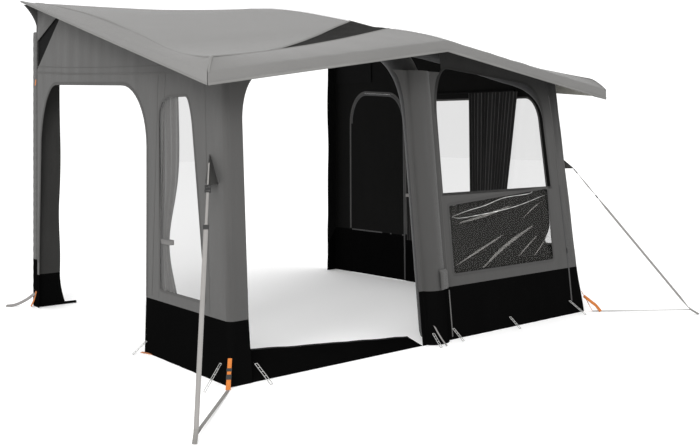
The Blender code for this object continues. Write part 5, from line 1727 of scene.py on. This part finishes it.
class AWNING_OT_curtains(Operator):
    """Hang the curtains from their tapes and tie two of them back at the waist"""

    bl_idname = "awning.curtains"
    bl_label = "Curtains"

    def curtain(self, sign, name, edges, foot, body, waist=None, foot_front=None, rearward=0.0):
        rear, front = edges
        foot_front = front if foot_front is None else foot_front
        pleats = max(4, round((front - rear) / 0.040))
        columns, rows = pleats * 10, 48
        drift = rearward * LEG_LEAN / DEPTH

        def place(i, j):
            share, part = i / columns, j / rows
            height = between(CURTAIN_TOP, foot, part)
            front_here = between(front, foot_front, part)
            rear_here = rear
            if waist:
                pinch = math.exp(-((height - waist) / 0.33) ** 2)
                middle = between(rear, front, 0.35)
                rear_here += (middle - rear_here) * pinch * (0.0 if sign < 0 else 0.35)
                front_here += (middle - front_here) * pinch * 0.70
            if sign < 0:
                window_edge = WINDOW_LEFT[0] - WINDOW_LEFT[4] * (height - WINDOW_LEFT[2])
                rear_here = min(rear_here, window_edge - 0.045)
            u = between(rear_here, front_here, share)
            sway = noise.noise(Vector((share * pleats * 0.6, height * 0.9, sign)))
            turn = TURN * pleats * share + 2.4 * sway
            deep = 0.60 + 0.40 * noise.noise(Vector((share * pleats * 0.5, height * 1.3, 5.0)))
            wave = math.sin(turn) * deep
            half = side_half(u, height) - CURTAIN_STANDOFF - CURTAIN_PLEAT * (1.0 + 0.8 * wave) / 1.8
            return world(sign * (half - drift * (CURTAIN_TOP - height)), u, height)

        # The left curtain's outer side is the grey curtain cloth; its room side and the right curtains get the
        # painted-shade copy
        kinds = ["curtain", "curtain_shaded"] if sign < 0 else ["curtain_shaded", "curtain_shaded"]
        made = piece(name + "_cloth", grid(columns, rows, place), kinds, body, (name,), aside(sign), CURTAIN_CLOTH)

    def tieback(self, sign, name, rear, front, height, body):
        ends = [side_half(u, height + 0.030 * side) for u in (rear, front) for side in (-0.5, 0.5)]
        near = min(ends) - CLOTH / 2.0 - 0.0033
        far = min(ends) - CURTAIN_STANDOFF - CURTAIN_PLEAT - 0.0042
        turn = 0.010
        path = []
        for x, u, start in ((near - turn, front - turn, 0), (far + turn, front - turn, 90),
                            (far + turn, rear + turn, 180), (near - turn, rear + turn, 270)):
            for k in range(5):
                angle = math.radians(start + 90.0 * k / 4.0)
                path.append((x + turn * math.cos(angle), u + turn * math.sin(angle), angle))
        path += path[:2]
        points = [world(sign * x, u, height) for x, u, _ in path]
        outs = [Vector((sign * math.cos(angle), -math.sin(angle), 0.0)) for _, _, angle in path]
        Strips().band(points, outs, 0.030, 0.0015).finish(name + "_band", ["webbing"], body, (name,))

    def execute(self, context):
        self.curtain(-1, "curtain_left", CURTAIN_LEFT, 0.43, "left_curtain", TIE_LEFT, 2.38)
        self.curtain(1, "curtain_right_rear", CURTAIN_REAR, 0.40, "right_rear_curtain", TIE_RIGHT, 1.20)
        middle = (CURTAIN_MIDDLE[0] + 0.027, CURTAIN_MIDDLE[1] + 0.060)
        self.curtain(1, "curtain_right_middle", middle, 0.47, "right_middle_curtain", None, 2.213, 0.50)
        for sign, side, rear, near, far, waist, body in (
                (-1, "left", CURTAIN_LEFT[0], 0.0166, 0.15, TIE_LEFT, "left_curtain"),
                (1, "right", CURTAIN_REAR[0], 0.002, 0.13, TIE_RIGHT, "right_rear_curtain")):
            self.tieback(sign, "tieback_" + side, rear + near, rear + far, waist, body)
        height = CURTAIN_TOP + 0.0064
        for sign, side, rear, front in ((-1, "left", 2.03, 2.48), (1, "right", 1.04, 2.38)):
            strips = Strips()
            path = resampled([world(sign * (side_half(u, height) - 0.0035), u, height) for u in (rear, front)], 0.03)
            strips.band(path, aside(-sign), 0.012, 0.0200, 0.001)
            strips.finish("curtain_track_%s_tape" % side, ["track"], replaces=("curtain_track_" + side,))
        return {"FINISHED"}


# Lines along the folded film's creases, across and up, where painted highlights are laid
FILM_CREASE_HIGHLIGHTS = (
    ((0.256, 0.916), (0.495, 0.968), (0.686, 0.992), (0.893, 0.999), (1.01, 0.989)),
    ((0.247, 0.842), (0.43, 0.878), (0.596, 0.897), (0.77, 0.940), (0.887, 0.953), (1.126, 0.961), (1.178, 0.981),
     (1.131, 0.991), (0.833, 0.989)),
    ((0.237, 0.839), (0.318, 0.822), (0.533, 0.836), (0.758, 0.852), (0.995, 0.880), (1.31, 0.944)),
)
# Streaks of painted reflection on the folded film: three points across and up, and a width
FILM_REFLECTION_STREAKS = (
    ((0.30, 0.79), (0.62, 0.83), (0.90, 0.885), 0.018), ((0.25, 0.50), (0.55, 0.60), (0.78, 0.675), 0.014),
    ((0.52, 0.455), (0.80, 0.60), (1.14, 0.72), 0.026), ((0.93, 0.50), (1.05, 0.57), (1.17, 0.64), 0.010),
    ((1.02, 0.78), (1.15, 0.85), (1.27, 0.90), 0.007), ((1.12, 0.49), (1.22, 0.56), (1.30, 0.63), 0.008),
)


def film_line(corners, inward):
    """A soft line just inside the front panel, through points given across and up."""
    line = resampled(rounded([(x, z, 0.0) for x, z in corners]), 0.02)
    return [world(p.x, front_depth(p.y) - inward, p.y) for p in line]


class AWNING_OT_folded_film(Operator):
    """Fold the upper half of the window down inside the panel, creased where it was rolled"""

    bl_idname = "awning.folded_film"
    bl_label = "Folded film"

    def pleated_layer(self):
        """The curtain of the opening, folded down with the film and hanging in soft pleats behind it, in the dark
        painted-shade copy of the curtain cloth.
        """
        columns, rows = 150, 26
        left, right = PANE[0] - 0.035, PANE[1] + 0.028

        def place(i, j):
            share, part = i / columns, j / rows
            v = SILL_HEIGHT - 0.012 - (SILL_HEIGHT - PANE[2] - 0.006) * part
            right_now = right - 0.075 * math.exp(-((part - 0.73) / 0.12) ** 2)
            u = between(left, right_now, share)
            turn = TURN * (13.0 * share + 0.55 * noise.noise(Vector((share * 5.0, v * 0.8, 137.0))))
            deep = 0.5 + 0.5 * noise.noise(Vector((share * 8.0, v * 0.7, 139.0)))
            swell = 0.020 + 0.014 * deep * math.sin(turn) * min(1.0, part * 6.0 + 0.2)
            return world(u, front_depth(v) - 0.0045 - swell, v)

        cloth("veranda_curtain_folded", grid(columns, rows, place), ["pleats", "pleats"], (), FORWARD, (1.45, 0.58),
              "folded", ("veranda_flap",), "window_flap", CURTAIN_CLOTH)

    def creases(self):
        """Pale streaks of painted reflection, and thin white strips of painted highlight along the creases, both laid
        on the film.
        """
        out = Vector((0.0, -1.0, 0.1))
        strips = Strips()
        # Pale streaks of painted reflection
        for first, second, third, broad in FILM_REFLECTION_STREAKS:
            points = film_line((first, second, third), 0.0036)
            widths = [0.002 + broad * math.sin(math.pi * (k + 0.5) / len(points)) ** 0.8 for k in range(len(points))]
            strips.band(points, out, broad, 0.0004, widths=widths)
        strips.finish("veranda_flap_haze", ["film_reflection"], "window_flap")
        strips = Strips()
        # Painted highlights along the creases
        for crease in FILM_CREASE_HIGHLIGHTS:
            points = film_line(crease, 0.0034)
            widths = []
            for k in range(len(points)):
                share = k / (len(points) - 1)
                uneven = max(0.1, 0.55 + 1.1 * noise.noise(Vector((k * 0.35, len(points), 0.0))))
                widths.append(0.0010 + 0.0048 * math.sin(math.pi * share) ** 0.6 * uneven)
            strips.band(points, out, 0.006, 0.0006, 0.0006, widths=widths)
        strips.finish("veranda_flap_creases", ["film_edge"], "window_flap")

    def execute(self, context):
        loop = [(u, 2.0 * SILL_HEIGHT - v) for u, v in veranda_loop(0.006)]
        loop.reverse()

        def place(u, v):
            drop = SILL_HEIGHT - v
            slope = v - 0.42 * u
            swell = min(1.0, drop / 0.06) * 0.010 * abs(ripple(slope, u + v, 0.17, 4.0, 131.0))
            return world(u, front_depth(v) - 0.0041 - swell, v)

        cloth("veranda_flap_clear", cut_sheet("veranda_flap", [loop], place, FINE_CELL), ["flap_film"],
              ("veranda_flap",), FORWARD, (1.12, 0.83), "folded", ("front_panel_right",), "window_flap", 0.0)
        strips = Strips()
        hem = [(u, 2.0 * SILL_HEIGHT - v) for u, v in veranda_loop(0.016)]
        strips.tape(on_front(-0.0052), hem[2:], Vector((0.0, -1.0, 0.1)), 0.020, 0.0010)
        # The hem is in the dark painted-shade copy of the curtain cloth
        strips.finish("veranda_flap_hem", ["pleats"], "window_flap")
        self.pleated_layer()
        self.creases()
        return {"FINISHED"}


# Storm straps and pegging


def storm_wall(sign, ahead, height, out=0.0):
    """A point on the leg's flank, measured ahead of the storm patch's own depth."""
    depth = STORM_PATCH_DEPTH + ahead
    return world(sign * (side_half(depth, height) + PATCH_STANDOFF + out), depth, height)


def storm_line(sign):
    """Nose of the patch, the strap's join above the peg, its direction and the direction across it."""
    low = storm_wall(sign, 0.0, STORM_PATCH_HEIGHT)
    join = world(sign * STORM_JOIN[sign > 0][0], STORM_JOIN[sign > 0][1], STORM_JOIN_LIFT)
    level = (Vector((join.x, join.y, low.z)) - low).normalized()
    nose = low + level * STORM_PATCH_REACH
    along = (join - nose).normalized()
    return nose, join, along, along.cross(UP).normalized()


def ground_anchor(sign):
    """Where the ground strap starts, beyond the corner's peg strap."""
    diagonal = Vector((sign, -1.0, 0.0)).normalized()
    reach = CORNER_STRAP_REACH + GROUND_STRAP_GAP
    return world(sign * FOOT_HALF_WIDTH, DEPTH, GROUND_LIFT) + diagonal * reach


class AWNING_OT_storm_straps(Operator):
    """Run the storm straps and the ground straps taut to where the pegs hold them"""

    bl_idname = "awning.storm_straps"
    bl_label = "Storm straps"

    def patch(self, sign, side, nose):
        """The triangular patch, its middle line drawn out to the nose by the strap."""
        rows, half = 16, 7
        tip = storm_wall(sign, STORM_PATCH_TIP[0], STORM_PATCH_HEIGHT + STORM_PATCH_TIP[1])
        feet = [storm_wall(sign, -STORM_PATCH_BACK, STORM_PATCH_HEIGHT, 0.0004),
                storm_wall(sign, STORM_PATCH_AHEAD, STORM_PATCH_HEIGHT, 0.0004)]

        def place(i, j):
            part = 0.02 + 0.98 * j / rows
            ridge = tip.lerp(nose, part)
            foot = tip.lerp(feet[0] if i < half else feet[1], part)
            share = abs(i - half) / half
            point = ridge.lerp(foot, share)
            sink = 0.10 * (ridge - foot).length * 4.0 * share * (1.0 - share)
            inward = aside(-sign)
            return point + inward * sink * (1.0 if i < half else 0.5) * min(1.0, (rows - j) / 3.0 + 0.3)

        # The patch is in the darker cloth that carries painted shade for its pocket
        cloth("storm_patch_%s_cloth" % side, grid(2 * half, rows, place), ["patch", "patch"],
              ("storm_patch_" + side,), aside(sign), (0.30, 0.20), "stretched", ("leg_sleeve_" + side,))
        strips = Strips()
        ridge = [tip.lerp(nose, 0.3 + 0.68 * k / 8.0) + Vector((sign * 0.0015, -0.001, 0.0)) for k in range(9)]
        strips.band(ridge, Vector((sign, -0.6, 0.2)), 0.010, 0.0010)
        strips.finish("storm_patch_%s_tape" % side, ["webbing"])

    def buckle(self, side, line):
        nose, _, along, flat = line
        middle = nose + along * 0.0264
        loops = []
        for half_u, half_v, shift in ((0.025, 0.018, 0.0), (0.0045, 0.0135, -0.014), (0.0045, 0.0135, 0.013)):
            loops.append([(shift - half_u, -half_v), (shift + half_u, -half_v), (shift + half_u, half_v),
                          (shift - half_u, half_v)])
        work = cut_sheet("storm_buckle", loops, lambda u, v: middle + along * u + flat * v, 1.0)
        piece("storm_buckle_%s_moulded" % side, work, ["plastic"], replaces=("storm_buckle_" + side,),
              facing=flat.cross(along), thickness=0.007)

    def strap(self, sign, side, line, adjuster, loop):
        nose, join, along, flat = line
        out = flat.cross(along)
        start = nose + along * 0.0518
        path = resampled([start, join], 0.03)
        widths = [0.015 if (p - start).length < ADJUSTER_ALONG else STRAP_WIDTH for p in path]
        turn = 0.0 if sign < 0 else STRAP_TWIST
        faces = []
        for p in path:
            share = min((p - start).length, (join - p).length, abs((p - start).length - ADJUSTER_ALONG))
            faces.append(Quaternion(along, turn * min(1.0, share / 0.12)) @ out)
        strips = Strips()
        strips.band([p - out * 0.0010 for p in path], faces, STRAP_WIDTH, 0.0018, 0.0006, widths=widths)
        made = strips.finish("storm_strap_%s_webbing" % side, ["webbing"], replaces=("storm_strap_" + side,))

    def ground_line(self, sign, side, join, loop):
        foot = ground_anchor(sign)
        over = join + (foot - join).normalized() * GROUND_STRAP_STOP
        path = resampled([foot, over], 0.03)
        strips = Strips()
        strips.band([p - UP * 0.0010 for p in path], UP, GROUND_WIDTH, 0.0016, 0.0006)
        made = strips.finish("storm_ground_line_%s_webbing" % side, ["ground_webbing"],
                             replaces=("storm_ground_line_" + side,))

    def peg_loop(self, sign, side, line):
        """The doubled webbing beyond the join, that goes over the peg."""
        _, join, along, _ = line
        foot_line = (ground_anchor(sign) - join).normalized()
        peg = world(sign * STORM_PEG[sign > 0][0], STORM_PEG[sign > 0][1], 0.005)
        strips = Strips()
        run = resampled(rounded([join - along * 0.02, join, peg]), 0.008)
        for lift in (0.0012, 0.0040):
            strips.band(run, UP, 0.024, 0.0018, 0.0006, lift=lift)
        strips.band([join + foot_line * 0.055, join + foot_line * 0.002], UP, 0.022, 0.0020, 0.0004, lift=-0.0015)
        return strips.finish("storm_peg_loop_" + side, ["ground_webbing"])

    def execute(self, context):
        for sign, side in SIDES:
            line = storm_line(sign)
            adjuster = softened("storm_adjuster_" + side, side + "_adjuster", 0.0012)
            loop = self.peg_loop(sign, side, line)
            self.patch(sign, side, line[0])
            self.buckle(side, line)
            self.strap(sign, side, line, adjuster, loop)
            self.ground_line(sign, side, line[1], loop)
        return {"FINISHED"}


def outer_side(sign, u, height):
    return world(sign * (side_half(u, height) + OUTER_FACE), u, height)


def outer_front(x, height, out=0.0):
    return world(x, front_depth(height) + OUTER_FACE + out, height)


def ladder(strips, start, end, across):
    """A rubber peg ladder: two rails and the rungs between them."""
    half, holes = 0.0090, 5
    for side in (-1.0, 1.0):
        rail = [start + across * side * half, end + across * side * half]
        strips.cord(resampled(rail, 0.02), 0.0020, 8)
    for k in range(holes + 1):
        point = start.lerp(end, k / holes)
        strips.cord([point - across * half, point, point + across * half], 0.0019, 8)


class AWNING_OT_pegging(Operator):
    """Fit the peg ladders, the orange corner straps and the loops at the foot of the walls"""

    bl_idname = "awning.pegging"
    bl_label = "Pegging"

    def ladders(self):
        low = 0.0046
        side = outer_side(-1, 1.965, 0.075)
        front = [outer_front(x, 0.075) for x in (0.160, 0.770)]
        runs = {
            "peg_ladder_side_rubber": [(side, Vector((side.x - 0.095, side.y, low)), Vector((0, 1, 0)))],
            "peg_ladder_middle_rubber": [(front[0], Vector((front[0].x, front[0].y - 0.095, low)), Vector((1, 0, 0)))],
            "peg_ladder_front_rubber": [(front[1], Vector((front[1].x, front[1].y - 0.095, low)), Vector((1, 0, 0)))],
            "peg_ladders_more": [
                (outer_side(-1, 2.90, 0.115), world(-1.845, 3.000, low), Vector((0, 1, 0))),
                (outer_front(-1.500, 0.105), world(-1.470, 3.115, low), Vector((1, 0, 0))),
                (outer_front(-0.075, 0.080, 0.036), world(-0.090, 3.130, low), Vector((1, 0, 0))),
                (outer_front(1.500, 0.105), world(1.560, 3.110, low), Vector((1, 0, 0))),
                (outer_side(1, 1.965, 0.075), world(1.770, 1.965, low), Vector((0, 1, 0))),
                (outer_side(1, 1.060, 0.075), world(1.705, 1.060, low), Vector((0, 1, 0)))],
        }
        for name, ends in runs.items():
            strips = Strips()
            for start, end, across in ends:
                ladder(strips, start, end, across)
            replaces = (name[:-len("_rubber")],) if name.endswith("_rubber") else ()
            strips.finish(name, ["rubber"], replaces=replaces)

    def corner_straps(self):
        for sign, name in ((-1, "corner_strap_left"), (1, "corner_strap_right")):
            out = Vector((sign, -1.0, 0.0)).normalized()
            corner = world(sign * FOOT_HALF_WIDTH, DEPTH, 0.0)
            lean = Vector((-sign * LEG_LEAN * 0.16, FRONT_RAKE * 0.16, 0.16))
            rounding = LEG_CORNER_RADIUS * (math.sqrt(2.0) - 1.0) * 0.16 / MUD_HEIGHT
            top = corner + lean - out * (rounding - 0.004)
            foot = corner + out * 0.065 + Vector((0.0, 0.0, 0.005))
            path = resampled([top, foot], 0.008)
            count = len(path) - 1
            widths = [0.024 + 0.012 * max(0.0, k / count - 0.55) for k in range(count + 1)]
            face = out + UP * 0.4
            strips = Strips()
            strips.band(path, face, 0.026, 0.0022, 0.0005, 0, 0.0, widths)
            for near, far in ((0.32, 0.42), (0.52, 0.68)):
                part = [top.lerp(foot, near), top.lerp(foot, (near + far) / 2.0), top.lerp(foot, far)]
                strips.band(part, face, 0.030, 0.0014, 0.0, 1, 0.0026)
            made = strips.finish(name + "_webbing", ["orange", "black_webbing"], replaces=(name,))

    def loose_tabs(self):
        strips = Strips()
        tabs = [
            ([(-1.672, 1.943, 0.003), (-1.635, 2.075, 0.003)], (0, 0, 1), 0.022),
            ([(1.690, 3.000, 0.120), (1.745, 3.075, 0.050), (1.760, 3.112, 0.004)], (-0.5, -1, 0.4), 0.024),
            ([(-1.594, -0.012, 0.130), (-1.600, -0.040, 0.060), (-1.622, -0.050, 0.004)], (-1, 0, 0.3), 0.024),
            ([(-1.594, -0.020, 1.870), (-1.597, -0.026, 1.820)], (-1, 0, 0), 0.016),
        ]
        for points, out, width in tabs:
            strips.band(resampled([world(*p) for p in points], 0.012), Vector(out), width, 0.0020, 0.0005)
        strips.finish("orange_tabs", ["orange"])
        strips = Strips()
        tails = [
            ([(-1.600, -0.030, 0.110), (-1.650, -0.070, 0.060), (-1.720, -0.140, 0.012), (-1.775, -0.196, 0.004)],
             (-0.3, -0.6, 0.8), 0.030, 0.0018),
            ([(-0.070, 3.010, 0.180), (-0.060, 3.045, 0.110), (-0.045, 3.105, 0.030), (-0.030, 3.125, 0.004)],
             (0.0, -1.0, 0.6), 0.012, 0.0016),
        ]
        for points, out, width, thick in tails:
            path = resampled(rounded([world(*p) for p in points]), 0.012)
            strips.band(path, Vector(out), width, thick, 0.0004)
        strips.finish("webbing_tails", ["webbing"])
        strips = Strips()
        roll = [(-1.575, 0.010, 0.013), (-1.50, 0.004, 0.014), (-1.42, 0.010, 0.013), (-1.33, 0.004, 0.012),
                (-1.262, 0.012, 0.012)]
        strips.cord(resampled(rounded([world(*p) for p in roll]), 0.02), 0.011, 14)
        strips.finish("rear_mudflap_roll", ["mud"])

    def execute(self, context):
        self.ladders()
        self.corner_straps()
        self.loose_tabs()
        return {"FINISHED"}


# Inflation point


class AWNING_OT_valve(Operator):
    """Set the inflation valve with its pin, cap and cover flap on the middle leg"""

    bl_idname = "awning.valve"
    bl_label = "Inflation valve"

    def execute(self, context):
        x, height = 0.05, 0.435
        round_off = math.sqrt(1.0 - (x / MIDDLE_TUBE_HALF) ** 2)
        slope = math.atan2(x * MIDDLE_BULGE / MIDDLE_TUBE_HALF ** 2, round_off)
        across = Vector((math.cos(slope), math.sin(slope), 0.0))
        up = Vector((0.0, FRONT_RAKE, 1.0)).normalized()
        out = across.cross(up).normalized()
        centre = world(x, front_depth(height) + MIDDLE_BULGE * round_off, height) + out * OUTER_FACE
        for part, body, rounding in (("body", "awning", 0.0008), ("pin", "pin", 0.0004), ("cap", "cap", 0.0008)):
            softened("valve_" + part, body, rounding)
        raised_by, cleared_at, length, width = 0.0154, 0.022, 0.135, 0.105
        columns, rows = 14, 18

        def place(i, j):
            drop = length * j / rows
            share = min(1.0, drop / cleared_at)
            edge = min(i, columns - i, rows - j) / 3.0
            rise = share * share * (3.0 - 2.0 * share)
            lift = raised_by * rise * (0.35 + 0.65 * math.sin(math.pi / 2.0 * min(1.0, edge)))
            wave = 0.0012 * ripple(i * 0.0075, drop, 0.03, 2.0, 141.0) * share
            return centre + across * width * (i / columns - 0.5) + up * (0.062 - drop) + out * (lift + wave)

        cloth("valve_flap_cloth", grid(columns, rows, place), ["wall", "inner"], ("valve_flap",), FORWARD,
              (0.105, 0.137), "hung", ("leg_sleeve_middle",), "inflation_flap", VISUAL_CLOTH)
        strips = Strips()
        for column in (0.6, columns - 0.6):
            line = [Vector(place(column, j)) + out * 0.0010 for j in range(rows + 1)]
            strips.band(line, out, 0.006, 0.0006)
        strips.finish("valve_flap_hems", ["seam_wall"], "inflation_flap")
        return {"FINISHED"}


# Stage


class AWNING_OT_stage(Operator):
    """Set the floor, the soft studio light and the camera at the photographed angle"""

    bl_idname = "awning.stage"
    bl_label = "Stage"

    def camera(self, scene):
        eye = bpy.data.cameras.new("studio_camera")
        eye.sensor_width = SENSOR
        eye.lens = CAMERA_LENS
        eye.shift_y = CAMERA_SHIFT_Y
        eye.clip_end = 100.0
        scene.camera = placed("studio_camera", eye, CAMERA_PLACE)
        scene.camera.rotation_euler = (math.radians(90.0), 0.0, CAMERA_YAW)

    def execute(self, context):
        scene = context.scene
        self.camera(scene)
        work = bmesh.new()
        bmesh.ops.create_grid(work, x_segments=4, y_segments=4, size=FLOOR_HALF)
        floor = placed("studio_floor", as_mesh("studio_floor", work), (0.0, 0.0, FLOOR_DROP))
        white = (1.0, 1.0, 1.0, 1.0)
        floor.data.materials.append(Look("studio_floor").made(
            base=(0.98, 0.98, 0.98, 1.0), roughness=1.0, specular=0.0, glow=white, glow_strength=FLOOR_GLOW))
        sky = bpy.data.worlds.new("studio_sky")
        sky.use_nodes = True
        background = sky.node_tree.nodes["Background"]
        background.inputs[0].default_value = white
        background.inputs[1].default_value = SKY_STRENGTH
        scene.world = sky
        lamp = bpy.data.lights.new("studio_softbox", "AREA")
        lamp.energy = LIGHT_POWER
        lamp.shape = "RECTANGLE"
        lamp.size, lamp.size_y = LIGHT_SIZE
        softbox = placed("studio_softbox", lamp, LIGHT_PLACE)
        softbox.rotation_euler = (UP - softbox.location).to_track_quat("-Z", "Y").to_euler()
        scene.view_settings.view_transform = "Standard"
        return {"FINISHED"}


class AWNING_PT_sidebar(Panel):
    """Lists the awning's settings and its pieces"""

    bl_idname = "AWNING_PT_sidebar"
    bl_label = "Campervan awning"
    bl_space_type = "VIEW_3D"
    bl_region_type = "UI"
    bl_category = "Awning"

    def draw(self, context):
        for name in AwningSettings.__annotations__:
            self.layout.prop(context.scene.awning, name)
        for maker in MAKERS:
            self.layout.operator(maker.bl_idname)


MAKERS = [
    AWNING_OT_stage,
    AWNING_OT_storm_straps,
    AWNING_OT_roof,
    AWNING_OT_beams,
    AWNING_OT_side_walls,
    AWNING_OT_legs,
    AWNING_OT_front_panel,
    AWNING_OT_folded_film,
    AWNING_OT_rear_edge,
    AWNING_OT_threshold,
    AWNING_OT_door,
    AWNING_OT_curtains,
    AWNING_OT_pegging,
    AWNING_OT_valve,
]
CLASSES = [AwningSettings, *MAKERS, AWNING_PT_sidebar]


def register():
    for made in CLASSES:
        bpy.utils.register_class(made)
    bpy.types.Scene.awning = PointerProperty(type=AwningSettings)


def unregister():
    del bpy.types.Scene.awning
    for made in reversed(CLASSES):
        bpy.utils.unregister_class(made)


def main():
    register()
    for maker in MAKERS:
        group, name = maker.bl_idname.split(".")
        getattr(getattr(bpy.ops, group), name)()


if __name__ == "__main__":
    main()
